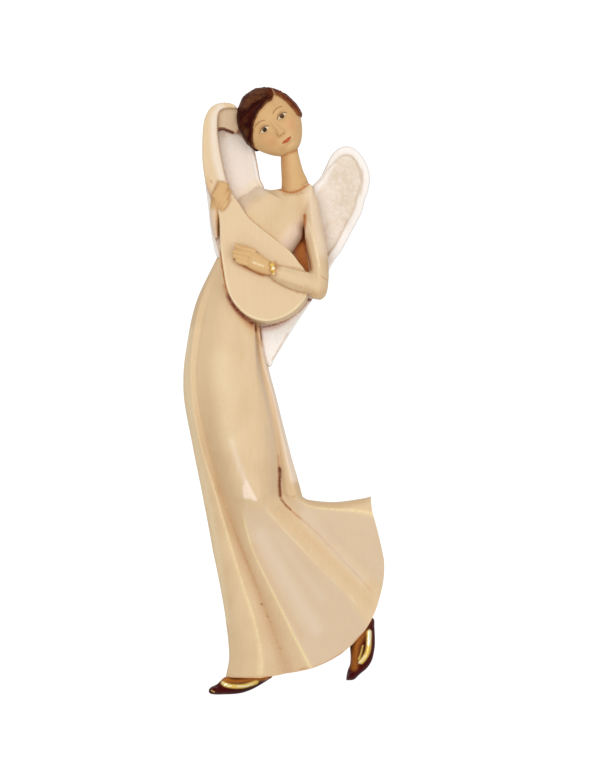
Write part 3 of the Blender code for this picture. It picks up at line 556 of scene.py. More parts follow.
def paint(piece, name, values):
    """Stores a number at each point for the paint to read."""
    layer = piece.data.attributes.new(name, "FLOAT", "POINT")
    layer.data.foreach_set("value", np.asarray(values, dtype=np.float32))


# A brush at least this wide, in squares, fades all the way in from its edge
WIDE_BRUSH = 0.4
STROKE_STEPS = 40


def strokes(piece, lines):
    """Brush strokes on the drawing. Narrow ones thin at their ends."""
    spots = on_drawing(points_of(piece))
    total = np.zeros(len(spots))
    for width, strength, *flat in lines:
        line = smooth_line(np.reshape(flat, (-1, 2)), STROKE_STEPS)
        close = np.all((spots > line.min(axis=0) - width) & (spots < line.max(axis=0) + width), axis=1)
        gap, _, share = nearest_on(line, spots[close])
        taper = np.clip(np.sin(share * math.pi) * 4, 0.15, 1.0)
        if width > WIDE_BRUSH:
            laid = strength * smoothstep(gap, width * 1.15, 0.0)
        else:
            laid = strength * taper * smoothstep(gap, width * taper, width * taper * 0.25)
        total[close] = np.maximum(total[close], laid)
    return total


def gown():
    """The long gown, lofted finely across its fold lines."""
    lines = []
    for leg, flare in GOWN_FOLDS:
        above = smooth_line(leg, LEG_STATIONS)
        below = smooth_line(leg[-1:] + flare, FLARE_STATIONS)
        lines.append(np.concatenate([above, below[1:]]))
    stations = len(lines[0])
    shares = np.arange(PANEL_COLUMNS) / PANEL_COLUMNS
    flare_share = smoothstep(np.arange(stations), *FLARE_SETS_IN)
    places, softness = [], []
    for index, (leg_swell, flare_swell) in enumerate(GOWN_SWELLS):
        start, end = lines[index].copy(), lines[index + 1].copy()
        before, after = lines[max(index - 1, 0)], lines[min(index + 2, len(lines) - 1)]
        start[:, 2] *= GOWN_DEPTH
        end[:, 2] *= GOWN_DEPTH
        swell = leg_swell * (1 - flare_share) + flare_swell * flare_share
        span = np.linalg.norm((end - start)[:, :2], axis=1) * SQUARE
        middle = (start + end) / 2
        middle[:, :2] += (end - before - after + start)[:, :2] / FLARE_BOW * flare_share[:, None]
        middle[:, 2] += swell * span
        for share in shares:
            places.append(start * (1 - share) * (1 - 2 * share) + middle * 4 * share * (1 - share)
                          + end * share * (2 * share - 1))
            near = abs(share - 0.5) * 2
            knot = GOWN_SOFTNESS[index] if share < 0.5 else GOWN_SOFTNESS[index + 1]
            softness.append(1.0 + (knot - 1.0) * near**6)
    last = lines[-1].copy()
    last[:, 2] *= GOWN_DEPTH
    places.append(last)
    softness.append(0.0)
    softness[0] = 0.0
    grid = np.stack(places, axis=1)
    weight = np.array(softness)[1:-1] * 0.5
    for _ in range(SOFTEN_PASSES):
        depth = grid[:, :, 2]
        grid[:, 1:-1, 2] = depth[:, 1:-1] + weight * ((depth[:, :-2] + depth[:, 2:]) / 2 - depth[:, 1:-1])
    rows, columns = grid.shape[:2]
    front = place(grid[..., 0], grid[..., 1], grid[..., 2]).reshape(-1, 3)

    rim = list(range(columns))
    rim += [row * columns + columns - 1 for row in range(1, rows)]
    rim += [(rows - 1) * columns + column for column in range(columns - 2, -1, -1)]
    rim += [row * columns for row in range(rows - 2, 0, -1)]
    corners = [row * columns + column for row in range(rows - 1) for column in range(columns - 1)]
    faces = [(corner, corner + 1, corner + columns + 1, corner + columns) for corner in corners]
    points, inner = [front], rim
    for level, share in enumerate(GOWN_WALL_SHARES):
        first = len(front) + level * len(rim)
        outer = list(range(first, first + len(rim)))
        for here in range(len(rim)):
            following = (here + 1) % len(rim)
            faces.append((inner[here], outer[here], outer[following], inner[following]))
        points.append(front[rim] * np.array([1.0, share, 1.0]))
        inner = outer
    faces.append(tuple(inner))
    piece = add_piece("gown", np.concatenate(points), faces)
    column_share = np.tile(np.arange(columns) / PANEL_COLUMNS, rows)
    row_share = np.repeat(np.arange(rows), columns)
    return piece, column_share, row_share


wing_insets = {}


def wing(name, outline, spine, out, inner_rim, outer_rim, sunk):
    """A wing whose rim, wider on its outer side, stands round a sunk field."""

    def depth_at(spots, along, inset, outward):
        rim = inner_rim + (outer_rim - inner_rim) * smoothstep(outward @ np.array(out), *RIM_WIDENS)
        edge = rounded(inset, WING_EDGE_ROUND)
        fall = smoothstep(inset, rim * RIM_SLOPE[0], rim * RIM_SLOPE[1])
        crown = WING_CROWN * smoothstep(inset, rim * CROWN_SLOPE[0], rim * CROWN_SLOPE[1])
        fall = fall * smoothstep(spots[:, 1], *FIELD_END)
        return WING_EDGE_DEPTH + (WING_THICKNESS - WING_EDGE_DEPTH) * edge - sunk * fall + crown

    add_rings(name, relief(outline, spine, 2 * BACK_STEP, depth_at, count=320, rows=44))
    wing_insets[name] = list(insets)


def lute_front(share):
    """Depth of the lute's flat front at a share of the way from the peg box to the end of the body."""
    depths = (LUTE_TOP_DEPTH, LUTE_NECK_DEPTH, LUTE_SHOULDER_DEPTH, LUTE_BODY_DEPTH)
    return np.interp(share, LUTE_SHARES, depths)


def lute():
    """The lute's pear-shaped body and its neck, with a wall that slants out below."""

    def depth_at(spots, along, inset, outward):
        return lute_front(along) - LUTE_EDGE_ROUND * (1 - rounded(inset, LUTE_EDGE_ROUND))

    def slant(along):
        return np.array(LUTE_WALL_SLANT) * smoothstep(along, *SLANT_SETS_IN)[:, None]

    rings = relief(LUTE_OUTLINE, LUTE_SPINE, LUTE_FLOOR, depth_at, count=420, rows=40, slant=slant)
    add_rings("lute", rings)


def peg_box():
    """The lute's bent-back peg box, seen between the neck and the hair."""
    top = max(up for across, up in PEG_BOX_OUTLINE)
    foot = min(up for across, up in PEG_BOX_OUTLINE)

    def depth_at(spots, along, inset, outward):
        lean = PEG_BOX_DROP * ((spots[:, 1] - foot) / (top - foot) - 0.5)
        return PEG_BOX_DEPTH + lean - PEG_BOX_EDGE_ROUND * (1 - rounded(inset, PEG_BOX_EDGE_ROUND))

    rings = relief(PEG_BOX_OUTLINE, PEG_BOX_SPINE, LUTE_FLOOR + BACK_STEP, depth_at, count=120, rows=20)
    add_rings("peg_box", rings)


def torso():
    """Rings of the rounded chest and waist."""

    marks = np.array(TORSO_EDGE_SPOTS)

    def depth_at(spots, along, inset, outward):
        gaps = np.linalg.norm(spots[:, None] - marks[None, :, :2], axis=2)
        weights = np.exp(-((gaps / TORSO_EDGE_REACH) ** 2)) + 1e-9
        edge = (weights * marks[:, 2]).sum(axis=1) / weights.sum(axis=1)
        return edge + (TORSO_DEPTH - edge) * domed(inset, TORSO_ROUND, fullness=0.8)

    return relief(TORSO_OUTLINE, TORSO_SPINE, BACK_STEP, depth_at, count=260, rows=40)


def shoe(name, outline, spine):
    """A pointed shoe with a rounded top."""

    def depth_at(spots, along, inset, outward):
        return SHOE_DEPTH * (SHOE_EDGE + (1 - SHOE_EDGE) * domed(inset, SHOE_ROUND, fullness=0.7))

    add_rings(name, relief(outline, spine, 4 * BACK_STEP, depth_at, count=160, rows=28))


# Places on the face, in shares of half the head's width and length from its middle
FACE_MIDDLE = 0.05
EYE_SIDE = 0.37
EYE_RISE = -0.03
EYE_HALF_WIDTH = 0.19
EYE_HALF_HEIGHT = 0.068
IRIS_RADIUS = 0.086
BROW_RISE = 0.17
NOSE_TOP = 0.12
NOSE_FOOT = -0.44
MOUTH_RISE = -0.62
MOUTH_HALF_WIDTH = 0.19
CHIN_RISE = -0.88
NOSE_HEIGHT = 0.0036
# Swells of the face, the same on both sides: height in metres, place and width aside, place and length up.
# In turn: nostrils, eye sockets, eyeballs, brow, upper lip, lower lip, under the lip, chin and cheeks
FACE_SWELLS = (
    (0.0009, 0.105, 0.045, NOSE_FOOT + 0.05, 0.05), (-0.0013, EYE_SIDE - 0.02, 0.19, EYE_RISE + 0.02, 0.11),
    (0.0011, EYE_SIDE, 0.14, EYE_RISE, 0.065), (0.0006, EYE_SIDE, 0.28, BROW_RISE, 0.08),
    (0.0010, 0.0, MOUTH_HALF_WIDTH * 0.8, MOUTH_RISE + 0.035, 0.035),
    (0.0012, 0.0, MOUTH_HALF_WIDTH * 0.7, MOUTH_RISE - 0.045, 0.04),
    (-0.0005, 0.0, 0.2, MOUTH_RISE - 0.13, 0.04), (0.0012, 0.0, 0.24, CHIN_RISE, 0.12),
    (0.0006, 0.48, 0.2, -0.3, 0.2),
)


def face_relief(side, rise):
    """How far the face stands forward of the plain egg at a place on it, in metres."""
    side = side - FACE_MIDDLE
    nose_run = smoothstep(rise, NOSE_TOP, NOSE_FOOT + 0.10)
    bridge = smoothstep(rise, NOSE_TOP + 0.06, 0.0) * smoothstep(rise, NOSE_FOOT - 0.02, NOSE_FOOT + 0.07)
    nose = NOSE_HEIGHT * bridge * (0.28 + 0.72 * nose_run) * bump(side, 0.0, 0.075 + 0.045 * nose_run)
    swells = (height * bump(np.abs(side), aside, width) * bump(rise, up, length)
              for height, aside, width, up, length in FACE_SWELLS)
    return nose + sum(swells)


def hair_share(side, rise, ahead):
    """One where the hair covers the head and nothing on the face and neck."""
    edge = (np.array(HAIRLINE) - HAIRLINE_MIDDLE).T
    spot = side - HAIRLINE_MIDDLE[0], rise - HAIRLINE_MIDDLE[1]
    angles = np.arctan2(*edge)
    angle = np.arctan2(*spot)
    reach = np.interp(angle, angles, np.hypot(*edge))
    front = smoothstep(np.hypot(*spot), reach - HAIR_FEATHER, reach + HAIR_FEATHER)
    front = np.where((angle < angles[0]) | (angle > angles[-1]), 0.0, front)
    return np.where(ahead < HAIR_NAPE_AHEAD, smoothstep(rise, *HAIR_NAPE), front)


def egg(rows, sides, front_crowding, back, offset):
    """Rings round the tilted head from crown to chin, crowded to the front, with each point's face place."""
    right = np.array([math.cos(HEAD_TILT), 0.0, math.sin(HEAD_TILT)])
    crown = np.array([-math.sin(HEAD_TILT), 0.0, math.cos(HEAD_TILT)])
    forward = np.array([0.0, -1.0, 0.0])
    centre = place(HEAD_ACROSS, HEAD_UP, HEAD_CENTRE_DEPTH)
    turns = 2 * math.pi * np.arange(sides) / sides
    angles = turns - front_crowding * np.sin(turns)
    rings, spots = [], []
    for row in range(rows):
        polar = math.pi * (row + POLE_GAP / 2) / (rows - 1 + POLE_GAP)
        rise = math.cos(polar)
        jaw = 1 - JAW_NARROWING * float(smoothstep(-rise, 0.05, 1.0))
        side = math.sin(polar) * np.sin(angles) * jaw
        ahead = math.sin(polar) * np.cos(angles)
        out = (right * (side * (HEAD_WIDTH / 2 - HAIR_THICKNESS))[:, None]
               + crown * (rise * (HEAD_LENGTH / 2 - HAIR_THICKNESS))
               + forward * (ahead * (HEAD_HALF_DEPTH - HAIR_THICKNESS))[:, None])
        rises = np.full(sides, rise)
        outwards, ahead_only = offset(side, rises, ahead)
        lengths = np.linalg.norm(out, axis=1)
        ring = centre + out * (1 + outwards / lengths)[:, None] + forward * ahead_only[:, None]
        ring[:, 1] = np.minimum(ring[:, 1], -back)
        rings.append(ring)
        spots.append(np.stack([side, rises, ahead], axis=1))
    return rings, np.concatenate(spots)


def head():
    """The tilted head with its plain face."""

    def offset(side, rise, ahead):
        return np.zeros(len(side)), face_relief(side, rise) * smoothstep(ahead, 0.0, 0.5)

    rings, spots = egg(rows=250, sides=300, front_crowding=0.55, back=4 * BACK_STEP, offset=offset)
    add_rings("head", rings)
    return spots


def strand_angle(side, rise):
    """The direction from the parting, which the strands of the hair follow."""
    return np.arctan2(side - PARTING[0], rise - PARTING[1])


def hair():
    """The cap of short hair. Where the face and neck are bare it runs inside the head."""

    def offset(side, rise, ahead):
        share = hair_share(side, rise, ahead)
        strands = strand_angle(side, rise)
        grooves = FINE_GROOVE * np.sin(strands * 60 + 3 * np.sin(side * 9) + 2 * np.sin(rise * 11))
        grooves += STRAND_GROOVE * np.sin(strands * 19 + 2 * np.sin(rise * 5))
        return HAIR_THICKNESS * (2 * share - 1) + grooves * share, np.zeros(len(side))

    rings, spots = egg(rows=170, sides=220, front_crowding=0.3, back=2 * BACK_STEP, offset=offset)
    add_rings("hair", rings)
    return spots


def bracelet():
    """The gilt band round the wrist, with small rounded beads."""
    start, end = np.array(BRACELET)
    stations = []
    for share in np.linspace(0.0, 1.0, BRACELET_STATIONS):
        spot = start + (end - start) * share
        bead = BEAD_RADIUS * (1 + abs(math.sin(share * math.pi * BEADS)))
        ends = math.sin(share * math.pi) ** 0.4 if 0 < share < 1 else 0.0
        radius = bead * (0.55 + 0.45 * ends)
        stations.append((*spot, WRIST_DEPTH + BRACELET_RISE * ends, radius, radius))
    add_rings("bracelet", limb(stations, sides=20, rows=150))


# The light is a little over full, so the paint is a little darker than it looks
PAINT_DEPTH = 0.89


def tint(red, green, blue):
    """A paint colour from its screen values, 0 to 255."""
    shares = (value / 255 for value in (red, green, blue))
    return tuple(PAINT_DEPTH * (share / 12.92 if share <= 0.04 else ((share + 0.055) / 1.055) ** 2.4)
                 for share in shares)


GOWN_TAN = tint(229, 200, 159)
GOWN_PALE = tint(240, 217, 184)
GOWN_DEEP = tint(214, 180, 136)
LUTE_BEIGE = tint(231, 203, 164)
WING_WHITE = tint(255, 248, 242)
WING_FIELD = tint(238, 220, 200)
SKIN = tint(222, 182, 128)
SKIN_DEEP = tint(208, 158, 102)
HAIR_BROWN = tint(47, 6, 2)
HAIR_RED = tint(86, 30, 14)
LIP_RED = tint(196, 84, 50)
# the brows and lid lines, and painted shade beside the nose
BROW_AND_SHADE_BROWN = tint(150, 92, 48)
EYE_WHITE = tint(236, 212, 176)
EYE_DARK = tint(14, 5, 4)
# the mouth line, and painted shade in the nostrils
MOUTH_AND_NOSTRIL_BROWN = tint(120, 55, 28)
SHOE_RED = tint(74, 4, 4)
SHOE_BLACK = tint(22, 3, 5)
GOLD = tint(246, 206, 104)
GOLD_DEEP = tint(186, 112, 44)
BARE_WOOD = tint(176, 142, 104)
BARE_WOOD_DARK = tint(145, 112, 76)

# The brushes in the order that they are laid: colour, strength, and how much the paint breaks up
BRUSHES = {
    # the wash where pieces meet, laid also as painted shade
    "crevice": (tint(176, 118, 68), 0.45, 0.6),
    "grey": (tint(206, 184, 166), 0.55, 0.3),
    "tan": (tint(206, 158, 104), 0.65, 0.4),
    "olive": (tint(206, 186, 152), 0.6, 0.3),
    "white": (tint(250, 238, 228), 0.85, 0.15),
    # these two lay painted highlights and painted light
    "pink_highlight": (tint(254, 232, 210), 0.9, 0.15),
    "cream_highlight": (tint(251, 230, 190), 0.85, 0.35),
    "brown": (tint(184, 102, 36), 0.9, 0.18),
    "amber": (tint(238, 150, 78), 0.9, 0.3),
    "dark": (tint(116, 38, 4), 0.95, 0.25),
    "gold_deep": (GOLD_DEEP, 1.0, 0.2),
    "gold": (tint(250, 212, 112), 1.0, 0.1),
    "shine": (tint(255, 250, 222), 1.0, 0.1),
}

# Brush strokes on the drawing: brush, pieces, and lines, each with its half width in squares, its strength
# and its points, across and up in turn
FRONTS = ("gown", "chest", "right_wing", "left_wing")
STROKES = (
    # The wash and painted shadow under the lute, its drips, and the thin line of painted shade on to the
    # elbow
    ("dark", FRONTS, (
        (0.34, 1, 4.7, 40.8, 5, 40.1, 5.5, 39.3, 6.1, 38.6, 6.9, 37.9, 7.7, 37.4),
        (0.17, 0.8, 7.4, 37.5, 8.2, 37.3, 9.3, 37.5, 10.6, 38.1, 11.6, 39, 12.5, 39.9),
        (0.13, 0.9, 7.55, 37.5, 7.6, 36.8), (0.1, 0.7, 8, 37.4, 8.1, 36.6, 8.15, 35.9),
        (0.22, 1, 12.3, 40.2, 12.8, 40.05, 13.3, 39.95))),
    ("brown", FRONTS, (
        (0.42, 0.55, 4.5, 41.4, 5.2, 39.6, 6.2, 38.3, 7.6, 37.2, 9.5, 37.3, 11.5, 38.7, 12.8, 40),
        (0.17, 1, 4.1, 45.2, 4.25, 43.4, 4.55, 41.8, 4.85, 40.6), (0.16, 0.5, 8, 37.2, 8.2, 35.2))),
    # tan painted shade below the lute
    ("tan", ("gown",), (
        (0.75, 0.7, 6.4, 38.2, 7.3, 37.1, 8, 36.2, 8.2, 34.6),)),
    # The hollow between the arm, the chest and the lute: brown, with amber laid over it as painted light in
    # its shade, and dark painted shade along its edges
    ("brown", ("right_wing", "gown"), (
        (1.9, 1.25, 12.2, 46.3, 12.2, 45.2, 12.3, 44, 12.7, 42.9),)),
    ("amber", ("right_wing", "gown"), (
        (0.9, 1, 11.9, 45.4, 12, 44.6, 12.3, 43.8, 12.6, 43),)),
    ("dark", ("right_wing", "gown"), (
        (0.28, 0.6, 12.3, 46.4, 12.75, 45, 13.05, 43.8, 13.15, 42.8), (0.28, 0.5, 12.3, 46.3, 12.2, 45.7))),
    ("dark", ("chest",), (
        (0.12, 0.8, 12.35, 46.2, 12.65, 45, 12.95, 43.8, 13.1, 42.8),)),
    ("brown", ("chest",), (
        (0.24, 1, 12.48, 48.7, 12.45, 47.6, 12.35, 46.6, 12.3, 46),
        (0.22, 0.6, 12.5, 46.3, 12.8, 45, 13.1, 43.6, 13.2, 42.7),
        (0.07, 0.5, 14.4, 47.2, 14.6, 46.2, 14.75, 45.2), (0.09, 0.5, 14, 42.4, 14.4, 42.15, 14.8, 41.9),
        (0.16, 0.5, 9.75, 43.6, 9.6, 43, 9.45, 42.3))),
    # painted highlights on the arm's ridge and along the forearm's upper edge
    ("cream_highlight", ("chest",), (
        (0.16, 0.8, 12.7, 48.1, 13.2, 46.5, 13.7, 44.5, 14, 42.9),
        (0.16, 0.5, 9.9, 43.3, 11, 43, 12.4, 42.6, 13.6, 42.4))),
    # painted shade under the elbow and the forearm, and tan down the arm's outer side
    ("tan", ("chest",), (
        (0.5, 0.6, 12.6, 41, 13.6, 40.5, 14.3, 40.8), (0.25, 0.6, 9.8, 42, 11, 41.6, 12.4, 41.1),
        (0.3, 0.5, 14.2, 47.4, 14.7, 45, 14.8, 42.6))),
    ("grey", ("chest",), (
        (0.7, 0.5, 10.2, 45.6, 11, 46, 11.7, 46.7),)),
    # lighter paint as painted light on the lower chest and on the arm's outer side
    ("pink_highlight", ("chest",), (
        (1.4, 1, 10.6, 45.2, 11.2, 45.9, 11.9, 46.9), (1.1, 0.55, 13.2, 50.4, 13.7, 48, 14.3, 45))),
    # The gilt line at the neck
    ("brown", ("chest", "neck"), (
        (0.11, 1, 9.6, 51.05, 10.4, 50.85, 11.1, 50.7, 12, 50.95, 12.6, 51.35, 13.1, 51.7),)),
    # White from the wing on to the shoulder, with cream over it as painted light against the shade there
    ("white", ("chest",), (
        (1.5, 0.9, 7.9, 51.5, 7, 51.2, 6.2, 50.5, 5.8, 49.7),)),
    ("cream_highlight", ("chest", "left_wing"), (
        (1, 0.2, 8.2, 51, 7.2, 50.4, 6.4, 49.6, 5.9, 48.8),)),
    ("cream_highlight", ("left_wing",), (
        (0.9, 0.55, 8.1, 51.7, 7.2, 51.2, 6.3, 50.4, 5.7, 49.6),)),
    # The lute
    # painted highlights along the lute's edges
    ("cream_highlight", ("lute",), (
        (0.14, 0.8, 4.1, 46.2, 4.25, 44.5, 4.75, 41.6, 5.3, 40.1, 6.7, 38.6, 8.7, 37.95, 10.6, 38.5, 12.1,
         39.7, 12.7, 40.6),
        (0.1, 0.6, 12.2, 43.3, 10.5, 45.2, 8.7, 46.6, 7, 48, 5.9, 49.6))),
    ("white", ("lute",), (
        (0.62, 0.7, 4.1, 59.2, 3.5, 58.4, 3.4, 57, 3.5, 55.4, 3.75, 53.8, 4.2, 52.2),)),
    # brown wash and painted shade under the strumming hand, and small brown marks by the bracelet and the
    # gripping hand
    ("brown", ("lute",), (
        (0.26, 1, 5.2, 44.3, 6, 43.65, 7.2, 42.95, 8.7, 42.35),
        (0.08, 0.35, 5.1, 45.7, 6.4, 45.5, 7.4, 44.95, 8.6, 44.1), (0.25, 0.6, 9.4, 43.7, 9.7, 43.75),
        (0.1, 0.8, 3.1, 52, 3.2, 51.6), (0.1, 0.4, 3.7, 50, 4.4, 51.4), (0.1, 0.4, 3.1, 50.9, 3.5, 50))),
    # tan painted shade under the forearm and the hand, and tan by the gripping hand
    ("tan", ("lute",), (
        (0.24, 0.9, 9, 42, 10.2, 41.5, 11.6, 40.95, 12.7, 40.5), (0.3, 0.6, 5, 44, 6.4, 43.1, 8.6, 42.2),
        (0.35, 0.5, 2.7, 52.4, 3, 50.8, 3.8, 49.6))),
    # painted shadow, with wash, in the slot under the peg box
    ("dark", ("peg_box", "left_wing"), (
        (0.24, 1, 3.7, 56.95, 4.2, 57.1, 4.7, 56.95, 5.2, 56.75, 5.5, 56.65),)),
    # the head's painted shadow on the wing and the peg box
    ("brown", ("peg_box", "left_wing"), (
        (0.26, 0.8, 5.6, 57.1, 6.1, 56.5, 6.8, 55.9, 7.4, 55.1),)),
    # painted shade over the peg box
    ("grey", ("peg_box",), (
        (1.4, 0.5, 4.6, 59, 4.6, 57.2),)),
    # The neck's shaded side
    ("brown", ("neck",), (
        (0.9, 0.4, 10.3, 54.6, 10.35, 53, 10.4, 51.2), (0.35, 0.6, 10.2, 54.4, 11.2, 54.8, 12, 55.2))),
    ("shine", ("bracelet",), (
        (0.22, 1, 9.3, 43.3, 9.4, 43), (0.22, 1, 9.4, 42.6, 9.5, 42.4))),
    # The gripping hand's wrist
    ("brown", ("gripping_hand", "gown", "left_wing"), (
        (0.13, 0.8, 3.9, 48.6, 3.85, 47.6, 3.8, 46.2),)),
    # painted light on the gripping hand's wrist
    ("pink_highlight", ("gripping_hand",), (
        (0.6, 0.8, 3.2, 48.7, 3.3, 47.6, 3.6, 46),)),
    # The strumming hand
    # a painted highlight on the hand
    ("cream_highlight", ("strumming_hand",), (
        (0.14, 0.9, 7.2, 43.75, 7.9, 43.5, 8.5, 43.3),)),
    # brown wash and painted shade along the hand's lower edge, and a thin line between the fingers
    ("brown", ("strumming_hand",), (
        (0.16, 0.7, 6.2, 43.5, 7.2, 42.95, 8.4, 42.5, 9.2, 42.3), (0.05, 0.4, 6, 45.25, 6.7, 45.2))),
    # The wings
    ("olive", ("right_wing",), (
        (1.3, 0.55, 16, 53.7, 16.8, 53.5, 17.3, 52.7, 17.4, 51.4, 17, 49.6, 16.4, 48),
        (1.8, 0.7, 15.6, 52.6, 16.6, 52.4, 16.9, 51, 16.4, 49.8),
        (0.45, 0.4, 16.6, 54.3, 17.4, 54.1, 17.9, 53, 18, 51.4, 17.5, 49.4))),
    ("tan", ("right_wing",), (
        (0.2, 0.5, 18.1, 53.4, 18.3, 52, 18, 50.2), (0.5, 0.3, 14.7, 47.6, 14.5, 45.2, 15.1, 43.9),
        (0.12, 0.8, 10.9, 36.9, 9.9, 35.2, 9.1, 33.8))),
    # lighter paint over the wing's top as painted light in its shade
    ("white", ("left_wing",), (
        (2.1, 0.8, 5.6, 55.3, 5.9, 53, 6.4, 50.8),)),
    # a tan line down the wing's edge beside the head and neck, and tan painted shade under the peg box
    ("tan", ("left_wing",), (
        (0.16, 1, 7.2, 55.2, 7.6, 54, 7.8, 53, 8, 52, 8.3, 51.3),
        (0.5, 0.5, 4.3, 56.3, 4.6, 56.8, 5.3, 56.6))),
    # The gown
    ("dark", ("gown",), (
        (0.25, 1, 9.92, 23.5, 10, 22.6, 9.95, 21.6, 10.05, 20.1),
        (0.14, 0.8, 10, 20.2, 10.6, 19.5, 11.2, 18.9), (0.06, 0.8, 18.3, 11.9, 19.1, 11.1, 19.8, 10.3),
        (0.14, 0.9, 8.1, 9.7, 8.2, 9.6), (0.13, 0.8, 8.73, 8.45, 8.8, 8.35),
        (0.12, 0.7, 9, 7.8, 9.05, 7.75), (0.12, 0.6, 10.1, 5.3, 10.15, 5.2))),
    ("brown", ("gown",), (
        (0.16, 0.5, 9.8, 25, 9.95, 22.5, 10.05, 20.6, 10.6, 19.5, 11.4, 18.7, 12.4, 17.8),
        (0.12, 0.9, 11.6, 3, 13, 3.25, 14, 3.6, 15, 4.05, 16, 4.6, 17, 5.2, 18.4, 6.9),
        (0.14, 0.8, 4.5, 2.35, 6.8, 2.3, 9.3, 2.4), (0.09, 0.6, 11.25, 20.2, 11.5, 20.45, 11.8, 20.5))),
    # grey paint and painted shade along the creases beside the leg and across the flare, and down the leg's
    # right side
    ("grey", ("gown",), (
        (0.3, 0.9, 7.5, 37, 7.7, 34.5, 8.3, 31.5, 9.1, 28, 9.6, 25),
        (0.9, 0.55, 8.9, 27, 9.4, 24, 9.4, 21), (0.22, 0.8, 11, 19.2, 13, 17.3, 16, 14.3, 18.6, 11.6))),
    ("white", ("gown",), (
        (1.1, 0.2, 8.2, 16.6, 9.8, 13.6, 11.8, 10.2, 13.6, 7.2),
        (0.7, 0.12, 9.6, 16.6, 12, 13.2, 14.2, 10.2), (1, 0.2, 12.6, 18.4, 15.2, 15.4, 18.2, 12.2))),
    ("tan", ("gown",), (
        (0.45, 0.3, 7.2, 15.6, 9.6, 11, 12.2, 6.4),
        (0.34, 0.4, 12.3, 20, 14.5, 19.5, 16.5, 19.5, 18.9, 20),
        (1.1, 0.35, 10.2, 18.9, 12.6, 16.6, 15.6, 13.6, 18.9, 9.9),
        (0.1, 0.7, 11.2, 19, 13.4, 17, 16, 14.3, 19.6, 10.4),
        (0.14, 0.7, 3, 24, 4.4, 19.7, 5.6, 16.6, 7.3, 12.4, 8.9, 8.1, 10.7, 3))),
    # painted highlights beside the crease, down the middle of the leg, along the leg's left side and along
    # the ridge across the flare
    ("cream_highlight", ("gown",), (
        (0.09, 0.8, 7.8, 36.9, 8.1, 35.8, 8.4, 34.8), (1.6, 0.4, 4.3, 34, 4.7, 29, 5.2, 25.6),
        (0.6, 0.7, 0.9, 37, 0.65, 32, 1.4, 26.5, 2.5, 21, 3.6, 15.5, 4.6, 8),
        (0.1, 0.45, 8.3, 20, 9.4, 18.2, 10.6, 16.9, 13.8, 13.6, 16.4, 11, 18.2, 9))),
    # painted light down the leg's right side, and painted highlights on the thigh and the knee
    ("pink_highlight", ("gown",), (
        (0.7, 1, 8.5, 35.2, 9.4, 31, 10.4, 26.8, 11.4, 22.2), (0.5, 0.5, 5.2, 26, 5.8, 23.9, 6.5, 21.9),
        (0.4, 1, 6.8, 21.2, 7.05, 20.5), (0.32, 1, 6.5, 22.1, 6.9, 21.2, 7.6, 19.9),
        (0.3, 1, 6.5, 21.7, 6.5, 20.8, 6.6, 20.1), (0.28, 1, 6.3, 20.35, 7, 20.3, 7.8, 20))),
    # The shoes
    ("gold_deep", ("left_shoe",), (
        (0.42, 1, 4.2, 2.1, 5.4, 2, 7, 2.1, 8.6, 2.3),)),
    ("gold", ("left_shoe",), (
        (0.3, 1, 4, 2, 4.5, 1.6, 5.2, 1.42, 6.2, 1.4, 7.2, 1.65, 8, 1.98), (0.09, 0.8, 3.1, 1, 3.5, 0.8))),
    ("shine", ("left_shoe",), (
        (0.1, 1, 4.15, 1.85, 4.6, 1.55, 5.2, 1.42), (0.09, 0.9, 5.6, 1.4, 6.6, 1.42, 7.4, 1.7))),
    ("dark", ("left_shoe",), (
        (0.12, 0.9, 4.6, 2.25, 6.6, 2.3, 9, 2.35),)),
    ("gold_deep", ("right_shoe",), (
        (0.55, 0.8, 18.4, 6.9, 17.7, 5.6, 17.45, 4.4, 17.4, 3.3),)),
    ("gold", ("right_shoe",), (
        (0.36, 1, 18.9, 7.2, 18.9, 6.2, 18.8, 5, 18.4, 4.2, 17.8, 3.6),
        (0.13, 0.7, 18.3, 5.6, 18.1, 4.7, 17.8, 4))),
    ("shine", ("right_shoe",), (
        (0.22, 1, 18.95, 7.1, 18.95, 6.4, 18.85, 5.4), (0.1, 0.8, 18.6, 4.6, 18.2, 4, 17.8, 3.7))),
)
# The painted sheen on the hair and its parting, in the same form
SHEEN_STROKE = (0.75, 1, 6.4, 59.6, 7.2, 60.6, 8.3, 61)
PARTING_LINE = (0.1, 1, 9.15, 61.2, 9.4, 60.7, 9.55, 60.2)

GILT_METAL = 0.45


def new_nodes(name):
    material = bpy.data.materials.new(name)
    material.use_nodes = True
    tree = material.node_tree
    return material, tree, tree.nodes["Principled BSDF"]


def add_noise(tree, scales, detail, turn=0.0):
    """Noise in the piece's own space, finer along an axis as its scale is larger."""
    coords = tree.nodes.new("ShaderNodeTexCoord")
    mapping = tree.nodes.new("ShaderNodeMapping")
    mapping.inputs["Scale"].default_value = scales
    mapping.inputs["Rotation"].default_value = (0.0, turn, 0.0)
    pattern = tree.nodes.new("ShaderNodeTexNoise")
    pattern.inputs["Scale"].default_value = 1.0
    pattern.inputs["Detail"].default_value = detail
    tree.links.new(coords.outputs["Object"], mapping.inputs["Vector"])
    tree.links.new(mapping.outputs["Vector"], pattern.inputs["Vector"])
    return pattern.outputs["Fac"]


def ranged(tree, value, low, high, to_low=0.0, to_high=1.0):
    node = tree.nodes.new("ShaderNodeMapRange")
    node.interpolation_type = "SMOOTHSTEP"
    node.inputs["From Min"].default_value = low
    node.inputs["From Max"].default_value = high
    node.inputs["To Min"].default_value = to_low
    node.inputs["To Max"].default_value = to_high
    tree.links.new(value, node.inputs["Value"])
    return node.outputs["Result"]


def combined(tree, operation, first, second):
    node = tree.nodes.new("ShaderNodeMath")
    node.operation = operation
    for socket, value in zip(node.inputs, (first, second)):
        if isinstance(value, (int, float)):
            socket.default_value = value
        else:
            tree.links.new(value, socket)
    return node.outputs["Value"]


